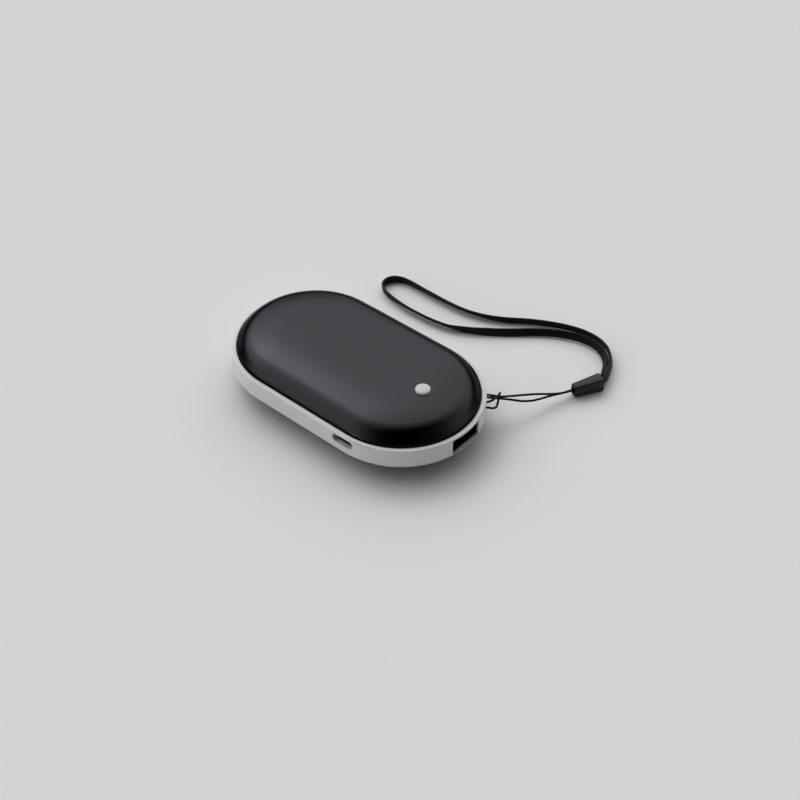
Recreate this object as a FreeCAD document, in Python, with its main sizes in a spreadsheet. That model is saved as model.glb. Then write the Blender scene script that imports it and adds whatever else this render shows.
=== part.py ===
"""Rechargeable pocket hand warmer with a power outlet and a wrist strap.

The case is a stadium seen from above: a white frame ring between two domed metal shells.
X runs along the case towards the power outlet, Z is up, and the origin is on the surface
that the case rests on, below its middle. Lengths are in millimetres, angles in degrees.
"""

import FreeCAD, Part

import math
import os

import Sketcher
from FreeCAD import Placement, Rotation, Vector

# Driving dimensions. Each becomes one aliased cell of the sheet.
SIZES = {
    # Case outline and shells
    "body_length": 98.0,
    "body_width": 58.0,
    "frame_height": 7.2,
    "shell_height": 6.4,
    "shell_wall": 1.0,
    "rim_reveal": 0.1,
    "edge_share": 0.31,
    "flank_share": 0.33,
    "flank_slope": 46.5,
    "shoulder_share": 1.17,
    "crown_radius": 60.0,
    # Frame ring and its glued joints
    "lip_width": 1.6,
    "lip_gap": 0.1,
    "lip_round": 0.5,
    "ledge_width": 3.8,
    "ledge_depth": 0.7,
    "seal_thickness": 0.2,
    "seal_margin": 0.3,
    "rib_width": 1.2,
    "rib_spacing": 20.0,
    "rib_offset": -4.0,
    # Power outlet, a full-size socket
    "outlet_width": 13.1,
    "outlet_height": 5.7,
    "outlet_length": 14.0,
    "outlet_wall": 0.3,
    "outlet_corner": 0.6,
    "outlet_recess": 1.35,
    "outlet_gap": 0.25,
    "outlet_window_width": 2.0,
    "outlet_window_length": 5.0,
    "outlet_window_side": 3.0,
    "outlet_window_front": 3.5,
    "tongue_width": 11.1,
    "tongue_thickness": 1.9,
    "tongue_setback": 1.8,
    "tongue_top_gap": 0.6,
    "insert_block": 3.0,
    "insert_gap": 0.05,
    "contact_width": 1.0,
    "contact_thickness": 0.15,
    "contact_inner": 1.0,
    "contact_outer": 3.5,
    "contact_setback": 0.8,
    # Charging inlet, a small socket in the long side
    "inlet_width": 7.5,
    "inlet_height": 2.6,
    "inlet_length": 5.4,
    "inlet_wall": 0.25,
    "inlet_chamfer": 0.9,
    "inlet_recess": 1.5,
    "inlet_from_end": 29.6,
    "inlet_level": 4.65,
    "inlet_slot_width": 8.6,
    "inlet_slot_height": 3.4,
    "inlet_slot_corner": 1.45,
    "inlet_bay_wall": 2.4,
    "inlet_block": 1.6,
    "inlet_tongue_width": 3.8,
    "inlet_tongue_thickness": 0.6,
    "inlet_tongue_setback": 0.7,
    "pin_width": 0.35,
    "pin_thickness": 0.1,
    "pin_pitch": 0.65,
    # Circuit board and its screws
    "board_thickness": 1.2,
    "board_gap": 0.4,
    "board_behind_switch": 1.4,
    "arm_margin": 1.4,
    "boss_radius": 2.5,
    "boss_setback": 2.4,
    "boss_depth": 3.4,
    "boss_angle": 33.0,
    "boss_inset": 1.55,
    "screw_radius": 0.8,
    "screw_gap": 0.05,
    "screw_length": 3.2,
    "screw_head_radius": 1.6,
    "screw_head_height": 1.2,
    "screw_cross_width": 0.5,
    "screw_cross_depth": 0.5,
    "screw_cross_length": 1.9,
    # Push switch and its button
    "switch_size": 6.0,
    "switch_height": 3.5,
    "switch_gap": 1.05,
    "stem_radius": 1.7,
    "stem_gap": 0.05,
    "stem_rise": 1.4,
    "stem_depth": 1.3,
    "dome_height": 0.5,
    "dome_thickness": 0.12,
    "dome_gap": 0.05,
    "button_radius": 2.7,
    "button_gap": 0.15,
    "button_side": 0.75,
    "button_crown": 0.25,
    "button_flange_radius": 3.8,
    "button_flange": 0.75,
    "button_flange_gap": 0.2,
    "button_post_radius": 1.5,
    "button_rest_gap": 0.05,
    # Small parts on the board
    "lamp_length": 1.6,
    "lamp_width": 0.8,
    "lamp_height": 0.6,
    "lamp_gap": 0.8,
    "chip_length": 5.0,
    "chip_width": 4.0,
    "chip_height": 1.4,
    "chip_side": 9.0,
    "coil_size": 6.0,
    "coil_height": 3.0,
    "coil_core_radius": 2.6,
    "coil_base": 0.8,
    "coil_gap": 0.3,
    # Battery cell
    "battery_thickness": 11.0,
    "battery_side_gap": 3.6,
    "battery_end_gap": 0.5,
    "battery_round": 2.0,
    "battery_lead_space": 1.2,
    "terrace_length": 4.0,
    "terrace_thickness": 1.0,
    "terrace_side": 3.0,
    "guard_board_thickness": 0.8,
    "guard_board_margin": 0.4,
    # Heater films and the pads that press them on
    "film_thickness": 0.25,
    "film_margin": 0.5,
    "film_front_gap": 2.0,
    "pad_margin": 1.5,
    "pad_rear_gap": 1.0,
    "pad_front_gap": 5.0,
    # Leads inside the case
    "lead_radius": 0.6,
    "lead_gap": 0.5,
    "lead_inset": 1.6,
    "lead_lift": 2.4,
    "battery_lead_share": 0.35,
    "heater_lead_share": 0.6,
    "film_lead_share": 0.2,
    "heater_lead_reach": 3.4,
    "heater_lead_drop": 1.9,
    # Strap eye in the frame
    "eye_angle": 40.5,
    "eye_bar_half": 1.75,
    "eye_channel": 1.5,
    "eye_height": 4.0,
    # Strap: thin cord, moulded clip and flat webbing
    "cord_radius": 0.4,
    "strand_spacing": 1.2,
    "strand_drop": 0.5,
    "bight_spacing": 2.5,
    "clip_x": 57.0,
    "clip_y": 48.9,
    "clip_angle": 65.0,
    "clip_length": 11.2,
    "clip_tail_width": 3.2,
    "clip_tail_height": 4.4,
    "clip_head_width": 4.7,
    "clip_head_height": 5.3,
    "clip_corner": 0.7,
    "cord_socket_width": 2.3,
    "cord_socket_height": 2.1,
    "cord_socket_depth": 1.4,
    "web_socket_depth": 2.0,
    "web_straight": 1.0,
    "strap_gap": 0.15,
    "web_width": 3.0,
    "web_thickness": 1.0,
    "web_spacing": 1.6,
}

# Route of the thin cord beyond the strap eye, and of the webbing beyond the clip, in
# millimetres. Both are chosen by hand to lie as the strap is laid out beside the case.
UPPER_STRAND = [
    (56.0, 44.7, 3.6),
    (53.9, 40.7, 4.6),
    (51.2, 36.3, 6.1),
    (48.8, 31.6, 7.5),
    (46.6, 27.0, 8.8),
    (44.4, 23.4, 9.6),
]
BIGHT = [
    (44.9, 19.3, 11.7),
    (44.9, 21.6, 11.6),
    (44.1, 23.7, 10.9),
    (43.1, 25.0, 9.7),
    (42.9, 25.0, 8.4),
    (43.5, 23.9, 7.4),
    (44.4, 22.2, 7.1),
    (45.4, 20.4, 7.5),
    (45.2, 18.4, 8.2),
]
LOWER_STRAND = [
    (44.1, 23.6, 8.5),
    (46.3, 26.8, 7.2),
    (48.6, 29.9, 5.6),
    (50.6, 33.3, 4.5),
    (52.0, 37.2, 3.7),
    (53.3, 41.2, 3.2),
    (55.2, 45.2, 2.6),
]
WEBBING = [
    (61.0, 65.2, 2.5),
    (58.4, 70.9, 2.3),
    (54.4, 75.7, 2.1),
    (48.4, 78.4, 1.9),
    (41.4, 78.6, 1.8),
    (34.2, 76.7, 1.7),
    (27.2, 73.6, 1.6),
    (20.6, 69.7, 1.55),
    (14.0, 64.8, 1.55),
    (6.8, 61.7, 1.55),
    (-1.2, 59.8, 1.55),
    (-9.8, 59.5, 1.55),
    (-18.2, 59.45, 1.55),
    (-25.8, 59.7, 1.55),
    (-30.6, 58.9, 1.55),
    (-33.6, 56.6, 1.55),
    (-34.0, 52.8, 1.55),
    (-31.6, 50.0, 1.55),
    (-27.2, 48.2, 1.55),
    (-20.4, 47.5, 1.55),
    (-12.6, 47.3, 1.55),
    (-5.0, 47.7, 1.55),
    (2.4, 49.1, 1.55),
    (9.2, 52.5, 1.55),
    (15.6, 56.8, 1.55),
    (21.4, 61.4, 1.6),
    (27.4, 66.9, 1.65),
    (34.2, 71.6, 1.75),
    (41.6, 74.8, 1.9),
    (48.8, 75.2, 2.1),
    (54.2, 72.6, 2.3),
    (57.6, 68.8, 2.45),
    (59.2, 64.8, 2.6),
]

# How much of the shorter run beside a corner its arc takes up.
ARC_SHARE = 0.45
# Points per run at which a route is measured against itself.
MEASURE_STEPS = 12


class Size:
    """A size: its value, and the sheet expression that gives it."""

    def __init__(self, value, text):
        self.value = value
        self.text = text

    def _join(self, other, sign, value):
        return Size(value, f"({self.text} {sign} {as_size(other).text})")

    def __add__(self, other):
        return self._join(other, "+", self.value + as_size(other).value)

    def __sub__(self, other):
        return self._join(other, "-", self.value - as_size(other).value)

    def __mul__(self, other):
        return self._join(other, "*", self.value * as_size(other).value)

    def __truediv__(self, other):
        return self._join(other, "/", self.value / as_size(other).value)

    def __rmul__(self, other):
        return as_size(other) * self

    def __neg__(self):
        return Size(-self.value, f"(0 - {self.text})")


def as_size(thing):
    """A plain number as a size, so that both can stand in one sum."""
    return thing if isinstance(thing, Size) else Size(float(thing), repr(thing))


def root(size):
    return Size(math.sqrt(size.value), f"sqrt({size.text})")


def square(size):
    return size * size


def sine(angle):
    return Size(math.sin(math.radians(angle.value)), f"sin({angle.text} * 1 deg)")


def cosine(angle):
    return Size(math.cos(math.radians(angle.value)), f"cos({angle.text} * 1 deg)")


ZERO = Size(0.0, "0")

doc = FreeCAD.newDocument("HandWarmer")
sheet = doc.addObject("Spreadsheet::Sheet", "Sizes")
for row, (alias, number) in enumerate(SIZES.items(), start=1):
    sheet.set(f"A{row}", str(number))
    sheet.setAlias(f"A{row}", alias)
doc.recompute()


class Sheet:
    """The sheet's cells as sizes, by alias."""

    def __getattr__(self, alias):
        return Size(float(sheet.get(alias)), f"Sizes.{alias}")


S = Sheet()
parts = []


# Levels and outlines that several pieces share

end_radius = S.body_width / 2
end_centre = (S.body_length - S.body_width) / 2
frame_bottom = S.shell_height
frame_top = frame_bottom + S.frame_height
frame_middle = frame_bottom + S.frame_height / 2
case_top = frame_top + S.shell_height
lip_inner = end_radius - S.lip_width
cavity_radius = lip_inner - S.ledge_width
upper_ledge = frame_top - S.ledge_depth
lower_ledge = frame_bottom + S.ledge_depth
rim_outer = lip_inner - S.lip_gap
inner_top = case_top - S.shell_wall
inner_bottom = S.shell_wall

# The shell's section: a short upright rim, a small edge arc, a straight flank, a shoulder arc and
# a large crown arc, all tangent, then a flat land. The shoulder's place is its arc's centre.
edge_radius = S.shell_height * S.edge_share
flank_length = S.shell_height * S.flank_share
shoulder_radius = S.shell_height * S.shoulder_share
flank_out = sine(S.flank_slope)
flank_up = cosine(S.flank_slope)
rim_top = frame_top + S.rim_reveal
edge_centre = rim_outer - edge_radius
flank_low_x = edge_centre + edge_radius * flank_out
flank_low_z = rim_top + edge_radius * flank_up
flank_high_x = flank_low_x - flank_length * flank_up
flank_high_z = flank_low_z + flank_length * flank_out
shoulder_x = flank_high_x - shoulder_radius * flank_out
shoulder_z = flank_high_z - shoulder_radius * flank_up
crown_level = case_top - S.crown_radius
arc_span = S.crown_radius - shoulder_radius
land_half = shoulder_x - root(square(arc_span) - square(shoulder_z - crown_level))

outlet_front = S.body_length / 2 - S.outlet_recess
outlet_rear = outlet_front - S.outlet_length
button_x = outlet_rear - S.switch_gap - S.switch_size / 2
inlet_x = S.body_length / 2 - S.inlet_from_end
inlet_middle = frame_bottom + S.inlet_level
inlet_front = end_radius - S.inlet_recess
board_top = inlet_middle - S.inlet_height / 2
board_bottom = board_top - S.board_thickness
board_radius = cavity_radius - S.board_gap
board_rear = button_x - S.switch_size / 2 - S.board_behind_switch
boss_reach = cavity_radius - S.boss_setback
switch_top = board_top + S.switch_height
stem_top = switch_top + S.stem_rise
battery_half = cavity_radius - S.battery_side_gap
battery_front = board_rear - S.battery_lead_space - S.terrace_length
battery_reach = root(square(cavity_radius - S.battery_end_gap) - square(battery_half))
battery_rear = -(end_centre + battery_reach)
battery_bottom = (case_top - S.battery_thickness) / 2
battery_top = battery_bottom + S.battery_thickness
terrace_top = (case_top + S.terrace_thickness) / 2
film_radius = land_half - S.film_margin
film_front_centre = board_rear - S.film_front_gap - film_radius
pad_radius = film_radius - S.pad_margin
upper_film_bottom = inner_top - S.film_thickness
lower_film_top = inner_bottom + S.film_thickness
eye_reach = end_radius - S.eye_bar_half


# Drawing helpers


def new_body(label):
    """An empty body that becomes the sub-part of that name."""
    body = doc.addObject("PartDesign::Body", label)
    body.Label = label
    parts.append(body)
    return body


def origin_plane(body, role):
    return next(f for f in body.Origin.OriginFeatures if f.Role == role)


def new_sketch(body, name, role="XY_Plane", lift=None):
    """A sketch on one of the body's own origin planes, lifted along that plane's normal."""
    sketch = body.newObject("Sketcher::SketchObject", name)
    sketch.AttachmentSupport = [(origin_plane(body, role), "")]
    sketch.MapMode = "FlatFace"
    if lift is not None:
        sketch.setExpression("AttachmentOffset.Base.z", lift.text)
    return sketch


def bind(sketch, kind, *where, size):
    """Adds a dimension to a sketch and binds it to a size."""
    index = sketch.addConstraint(Sketcher.Constraint(kind, *where, size.value))
    sketch.setExpression(f"Constraints[{index}]", size.text)


def pin_point(sketch, edge, end, x, y):
    """Holds one point of a sketch at x, y from the sketch's origin."""
    for kind, axis, size in (("DistanceX", -2, x), ("DistanceY", -1, y)):
        if size.text == ZERO.text:
            sketch.addConstraint(Sketcher.Constraint("PointOnObject", edge, end, axis))
        elif size.value > 0:
            bind(sketch, kind, -1, 1, edge, end, size=size)
        else:
            bind(sketch, kind, edge, end, -1, 1, size=-size)


def arc_between(a, b, radius, turn):
    """The arc from a to b of that radius, under a half circle, turning left (1) or right (-1)."""
    middle = (a + b) / 2
    across = Vector(-(b - a).y, (b - a).x, 0).normalize()
    reach = math.sqrt(radius**2 - (a - middle).Length ** 2)
    centre = middle + across * reach * turn
    ends = (a, b) if turn > 0 else (b, a)
    angles = [math.atan2((p - centre).y, (p - centre).x) for p in ends]
    if angles[1] < angles[0]:
        angles[1] += 2 * math.pi
    return Part.ArcOfCircle(Part.Circle(centre, Vector(0, 0, 1), radius), *angles)


def draw_outline(sketch, corners, arcs=None):
    """A closed outline through the corners. arcs gives the radius and turn of the edges, by
    the number of the corner that they start from, which aren't straight."""
    arcs = arcs or {}
    first = sketch.GeometryCount
    count = len(corners)
    points = [Vector(x.value, y.value, 0) for x, y in corners]
    starts, ends = [], []
    for i in range(count):
        a, b = points[i], points[(i + 1) % count]
        if i in arcs:
            radius, turn = arcs[i]
            sketch.addGeometry(arc_between(a, b, radius.value, turn))
            bind(sketch, "Radius", first + i, size=radius)
        else:
            turn = 1
            sketch.addGeometry(Part.LineSegment(a, b))
        starts.append(1 if turn > 0 else 2)
        ends.append(2 if turn > 0 else 1)
    for i in range(count):
        after = (i + 1) % count
        joint = (first + i, ends[i], first + after, starts[after])
        sketch.addConstraint(Sketcher.Constraint("Coincident", *joint))
        pin_point(sketch, first + i, starts[i], *corners[i])


def draw_box(sketch, low_x, low_y, high_x, high_y):
    draw_outline(sketch, [(low_x, low_y), (high_x, low_y), (high_x, high_y), (low_x, high_y)])


def draw_round_box(sketch, low_x, low_y, high_x, high_y, radius):
    """A box with rounded corners."""
    corners = [
        (low_x + radius, low_y),
        (high_x - radius, low_y),
        (high_x, low_y + radius),
        (high_x, high_y - radius),
        (high_x - radius, high_y),
        (low_x + radius, high_y),
        (low_x, high_y - radius),
        (low_x, low_y + radius),
    ]
    draw_outline(sketch, corners, {i: (radius, 1) for i in (1, 3, 5, 7)})


def draw_circle(sketch, x, y, radius):
    edge = sketch.GeometryCount
    centre = Vector(x.value, y.value, 0)
    sketch.addGeometry(Part.Circle(centre, Vector(0, 0, 1), radius.value))
    bind(sketch, "Radius", edge, size=radius)
    pin_point(sketch, edge, 3, x, y)


def draw_stadium(sketch, rear_x, front_x, radius):
    """Two half circles about points of the X axis, joined by straight lines."""
    first = sketch.GeometryCount
    rear, front, r = rear_x.value, front_x.value, radius.value
    up = Vector(0, 0, 1)
    quarter = math.pi / 2
    front_circle = Part.Circle(Vector(front, 0, 0), up, r)
    rear_circle = Part.Circle(Vector(rear, 0, 0), up, r)
    sketch.addGeometry(Part.LineSegment(Vector(rear, -r, 0), Vector(front, -r, 0)))
    sketch.addGeometry(Part.ArcOfCircle(front_circle, -quarter, quarter))
    sketch.addGeometry(Part.LineSegment(Vector(front, r, 0), Vector(rear, r, 0)))
    sketch.addGeometry(Part.ArcOfCircle(rear_circle, quarter, 3 * quarter))
    for i in range(4):
        joint = (first + i, 2, first + (i + 1) % 4, 1)
        sketch.addConstraint(Sketcher.Constraint("Tangent", *joint))
    bind(sketch, "Radius", first + 1, size=radius)
    pin_point(sketch, first + 1, 3, front_x, ZERO)
    pin_point(sketch, first + 3, 3, rear_x, ZERO)


def extrude(body, kind, sketch, length, reverse=False, both_ways=False):
    """A Pad or Pocket of a sketch, along its normal or against it."""
    feature = body.newObject(f"PartDesign::{kind}", f"{sketch.Name}{kind}")
    feature.Profile = sketch
    feature.setExpression("Length", length.text)
    feature.Reversed = reverse
    feature.Midplane = both_ways
    doc.recompute()
    return feature


def add(body, sketch, length, **how):
    return extrude(body, "Pad", sketch, length, **how)


def cut(body, sketch, length, **how):
    """Cuts a sketch out of the body, against the sketch's normal unless reversed."""
    before = body.Shape.Volume
    feature = extrude(body, "Pocket", sketch, length, **how)
    if body.Shape.Volume >= before:
        raise RuntimeError(f"{feature.Name} cuts nothing")
    return feature


def revolve(body, sketch, angle, reverse=False):
    """Turns a sketch about its own upright axis."""
    feature = body.newObject("PartDesign::Revolution", f"{sketch.Name}Turn")
    feature.Profile = sketch
    feature.ReferenceAxis = (sketch, ["V_Axis"])
    feature.Angle = angle
    feature.Reversed = reverse
    doc.recompute()
    return feature


def move(body, x=None, y=None, z=None):
    for axis, size in (("x", x), ("y", y), ("z", z)):
        if size is not None:
            body.setExpression(f"Placement.Base.{axis}", size.text)


def plate(label, draw, bottom, thickness):
    """A flat piece: an outline, drawn by draw(sketch), of that thickness above bottom."""
    body = new_body(label)
    sketch = new_sketch(body, f"{label}_outline", lift=bottom)
    draw(sketch)
    add(body, sketch, thickness)
    return body


def block(name, x, y, z, length, width, height):
    """A box, centred on x, y and standing on z."""
    box = doc.addObject("Part::Box", name)
    sizes = {"Length": length, "Width": width, "Height": height}
    for key, size in sizes.items():
        box.setExpression(key, size.text)
    move(box, x - length / 2, y - width / 2, z)
    return box


def rod(name, x, y, z, radius, height):
    """An upright cylinder, standing on z."""
    cylinder = doc.addObject("Part::Cylinder", name)
    cylinder.setExpression("Radius", radius.text)
    cylinder.setExpression("Height", height.text)
    move(cylinder, x, y, z)
    return cylinder


def group(label, members):
    """Separate solids that make one sub-part."""
    compound = doc.addObject("Part::Compound", label)
    compound.Label = label
    compound.Links = members
    parts.append(compound)
    return compound


def solid_part(label, shape):
    """A sub-part whose solid part.py works out itself."""
    feature = doc.addObject("Part::Feature", label)
    feature.Label = label
    feature.Shape = shape
    parts.append(feature)
    return feature


# Routes of leads, cord and webbing


def route_wire(points):
    """Straight runs joined by tangent arcs, each as large as its two runs allow. Returns the
    wire and the arcs' radii."""
    edges, radii = [], []
    start = points[0]
    for before, corner, after in zip(points, points[1:], points[2:]):
        inward, outward = before - corner, after - corner
        half_turn = (math.pi - inward.getAngle(outward)) / 2
        trim = ARC_SHARE * min(inward.Length, outward.Length)
        radius = trim / math.tan(half_turn)
        inward.normalize()
        outward.normalize()
        arc_start, arc_end = corner + inward * trim, corner + outward * trim
        to_centre = (inward + outward).normalize() * (radius / math.cos(half_turn))
        to_corner = (inward + outward).normalize() * -radius
        edges.append(Part.LineSegment(start, arc_start).toShape())
        edges.append(Part.Arc(arc_start, corner + to_centre + to_corner, arc_end).toShape())
        radii.append(radius)
        start = arc_end
    edges.append(Part.LineSegment(start, points[-1]).toShape())
    return Part.Wire(edges), radii


def sweep(wire, section, area, upright=False):
    """The section swept along a wire, checked against its area times the wire's length."""
    shell = Part.BRepOffsetAPI.MakePipeShell(wire)
    if upright:
        shell.setBiNormalMode(Vector(0, 0, 1))
    shell.add(section)
    shell.build()
    shell.makeSolid()
    solid = shell.shape()
    if abs(solid.Volume / (area * wire.Length) - 1) > 0.01:
        raise RuntimeError("a swept piece hasn't the volume of its section times its length")
    return solid


def round_tube(points, radius):
    """A round tube along a route. Returns its solid, its wire and its arcs' radii."""
    wire, radii = route_wire(points)
    along = points[1] - points[0]
    ring = Part.Wire(Part.makeCircle(radius, points[0], along))
    return sweep(wire, ring, math.pi * radius**2), wire, radii


def flat_band(points, width, thickness):
    """A band standing on its edge along a route that is level or nearly so."""
    wire, radii = route_wire(points)
    along = (points[1] - points[0]).normalize()
    side = Vector(-along.y, along.x, 0) * (thickness / 2)
    rise = Vector(0, 0, width / 2)
    corners = [side + rise, side - rise, -side - rise, -side + rise]
    loop = [points[0] + corner for corner in corners]
    section = Part.makePolygon(loop + loop[:1])
    return sweep(wire, section, width * thickness, upright=True), wire, radii


def least_gap(wire, thickness, skip):
    """The least space that a route leaves between two of its stretches that are at least
    skip apart along it."""
    points = wire.discretize(Number=MEASURE_STEPS * len(wire.Edges))
    step = wire.Length / (len(points) - 1)
    apart = math.ceil(skip / step)
    far = [(a - b).Length for i, a in enumerate(points) for b in points[i + apart :]]
    return min(far) - thickness


# Case: frame ring, two shells and the seals between them


def make_frame():
    """The white ring, with its ledges, port openings, strap eye, board bosses and ribs."""
    frame = new_body("mid_frame")
    ring = new_sketch(frame, "frame_ring", lift=frame_bottom)
    draw_stadium(ring, -end_centre, end_centre, end_radius)
    draw_stadium(ring, -end_centre, end_centre, cavity_radius)
    pad = add(frame, ring, S.frame_height)

    rounding = frame.newObject("PartDesign::Fillet", "frame_lip_round")
    outer = [f"Edge{i}" for i, edge in enumerate(pad.Shape.Edges, start=1) if is_outer_rim(edge)]
    rounding.Base = (pad, outer)
    rounding.setExpression("Radius", S.lip_round.text)
    doc.recompute()

    for name, level, upward in (("upper", upper_ledge, True), ("lower", lower_ledge, False)):
        rebate = new_sketch(frame, f"frame_{name}_rebate", lift=level)
        draw_stadium(rebate, -end_centre, end_centre, lip_inner)
        cut(frame, rebate, S.ledge_depth, reverse=upward)

    bosses = new_sketch(frame, "frame_bosses", lift=board_bottom - S.boss_depth)
    for x, y in screw_places():
        draw_circle(bosses, x, y, S.boss_radius)
    add(frame, bosses, S.boss_depth)
    pilots = new_sketch(frame, "frame_pilots", lift=board_bottom)
    for x, y in screw_places():
        draw_circle(pilots, x, y, S.screw_radius + S.screw_gap)
    cut(frame, pilots, S.boss_depth)

    ribs = new_sketch(frame, "frame_ribs", lift=lower_ledge)
    rib_tip = battery_half + S.board_gap
    for x in (S.rib_offset - S.rib_spacing / 2, S.rib_offset + S.rib_spacing / 2):
        low, high = x - S.rib_width / 2, x + S.rib_width / 2
        draw_box(ribs, low, rib_tip, high, cavity_radius)
        draw_box(ribs, low, -cavity_radius, high, -rib_tip)
    add(frame, ribs, upper_ledge - lower_ledge)

    outlet = new_sketch(frame, "frame_outlet", "YZ_Plane", lift=end_centre)
    half_width = S.outlet_width / 2 + S.outlet_gap
    half_height = S.outlet_height / 2 + S.outlet_gap
    low, high = frame_middle - half_height, frame_middle + half_height
    draw_round_box(outlet, -half_width, low, half_width, high, S.outlet_corner)
    cut(frame, outlet, end_radius + S.lip_width, reverse=True)

    slot = new_sketch(frame, "frame_inlet_slot", "XZ_Plane")
    half_width, half_height = S.inlet_slot_width / 2, S.inlet_slot_height / 2
    low, high = inlet_middle - half_height, inlet_middle + half_height
    corner = S.inlet_slot_corner
    draw_round_box(slot, inlet_x - half_width, low, inlet_x + half_width, high, corner)
    cut(frame, slot, end_radius + S.lip_width, reverse=True)

    bay = new_sketch(frame, "frame_inlet_bay", lift=board_bottom)
    half_bay = arm_half() + S.board_gap
    draw_box(bay, inlet_x - half_bay, S.inlet_bay_wall - end_radius, inlet_x + half_bay, ZERO)
    cut(frame, bay, upper_ledge - board_bottom, reverse=True)

    eye = new_sketch(frame, "frame_strap_eye", lift=frame_middle - S.eye_height / 2)
    bar, wide = S.eye_bar_half, S.eye_bar_half + S.eye_channel
    corners = [
        eye_place(wide, wide),
        eye_place(wide, ZERO),
        eye_place(ZERO, -wide),
        eye_place(-wide, ZERO),
        eye_place(-wide, wide),
        eye_place(-bar, wide),
        eye_place(-bar, ZERO),
        eye_place(ZERO, -bar),
        eye_place(bar, ZERO),
        eye_place(bar, wide),
    ]
    draw_outline(eye, corners, {1: (wide, 1), 2: (wide, 1), 6: (bar, -1), 7: (bar, -1)})
    cut(frame, eye, S.eye_height, reverse=True)
    return frame


def eye_place(aside, outward):
    """A point near the strap eye: so far aside from the middle of its bar, and so far out from
    where the bar's round back begins."""
    reach = eye_reach + outward
    x = end_centre + reach * cosine(S.eye_angle) - aside * sine(S.eye_angle)
    y = reach * sine(S.eye_angle) + aside * cosine(S.eye_angle)
    return x, y


def is_outer_rim(edge):
    """Whether an edge of the plain ring lies on its outer outline, at the top or the bottom."""
    flat = edge.BoundBox.ZLength < S.lip_round.value
    middle = edge.valueAt((edge.FirstParameter + edge.LastParameter) / 2)
    past_end = max(abs(middle.x) - end_centre.value, 0.0)
    return flat and math.hypot(past_end, middle.y) > lip_inner.value


def screw_places():
    """Centres of the four board screws: two beside the outlet, two at the board's rear corners."""
    front_x = end_centre + boss_reach * cosine(S.boss_angle)
    front_y = boss_reach * sine(S.boss_angle)
    rear_x = board_rear + S.boss_inset
    rear_y = root(square(boss_reach) - square(rear_x - end_centre))
    return [(front_x, front_y), (front_x, -front_y), (rear_x, rear_y), (rear_x, -rear_y)]


def arm_half():
    """Half the width of the board's arm that carries the charging inlet."""
    return S.inlet_width / 2 + S.arm_margin


def draw_shell_section(sketch):
    """Half of a shell's section, from the middle of its land to its rim."""
    rim_bottom = upper_ledge + S.seal_thickness
    lean_x = (shoulder_x - land_half) / arc_span
    lean_z = (shoulder_z - crown_level) / arc_span
    wall_in = S.shell_wall * flank_out
    wall_down = S.shell_wall * flank_up
    inner_crown = S.crown_radius - S.shell_wall
    inner_shoulder = shoulder_radius - S.shell_wall
    inner_edge = edge_radius - S.shell_wall
    corners = [
        (ZERO, case_top),
        (ZERO, inner_top),
        (land_half, inner_top),
        (land_half + inner_crown * lean_x, crown_level + inner_crown * lean_z),
        (flank_high_x - wall_in, flank_high_z - wall_down),
        (flank_low_x - wall_in, flank_low_z - wall_down),
        (rim_outer - S.shell_wall, rim_top),
        (rim_outer - S.shell_wall, rim_bottom),
        (rim_outer, rim_bottom),
        (rim_outer, rim_top),
        (flank_low_x, flank_low_z),
        (flank_high_x, flank_high_z),
        (land_half + S.crown_radius * lean_x, crown_level + S.crown_radius * lean_z),
        (land_half, case_top),
    ]
    arcs = {
        2: (inner_crown, -1),
        3: (inner_shoulder, -1),
        5: (inner_edge, -1),
        9: (edge_radius, 1),
        11: (shoulder_radius, 1),
        12: (S.crown_radius, 1),
    }
    draw_outline(sketch, corners, arcs)


def make_shell(label):
    """A domed shell in the upper shell's place: a straight stretch between two turned ends."""
    shell = new_body(label)
    straight = new_sketch(shell, f"{label}_straight", "YZ_Plane")
    draw_shell_section(straight)
    half = add(shell, straight, end_centre * 2, both_ways=True)
    other_half = shell.newObject("PartDesign::Mirrored", f"{label}_other_half")
    other_half.Originals = [half]
    other_half.MirrorPlane = (origin_plane(shell, "XZ_Plane"), [""])
    shell.Tip = other_half
    doc.recompute()
    for name, place, backward in (("front", end_centre, True), ("rear", -end_centre, False)):
        section = new_sketch(shell, f"{label}_{name}", "YZ_Plane", lift=place)
        draw_shell_section(section)
        revolve(shell, section, 180, reverse=backward)
    return shell


def make_shells():
    """The upper shell has the button's hole, and the lower one is turned over below it."""
    upper = make_shell("upper_shell")
    hole = new_sketch(upper, "upper_shell_button_hole", lift=case_top)
    draw_circle(hole, button_x, ZERO, S.button_radius + S.button_gap)
    cut(upper, hole, S.shell_wall + S.button_flange_gap)
    lower = make_shell("lower_shell")
    lower.Placement = Placement(Vector(0, 0, 0), Rotation(Vector(1, 0, 0), 180))
    move(lower, z=case_top)


def make_seal(label, bottom):
    """A glued gasket between a shell's rim and the frame's ledge."""

    def draw(sketch):
        draw_stadium(sketch, -end_centre, end_centre, lip_inner - S.seal_margin)
        draw_stadium(sketch, -end_centre, end_centre, cavity_radius + S.seal_margin)

    plate(label, draw, bottom, S.seal_thickness)


# Power outlet


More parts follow.
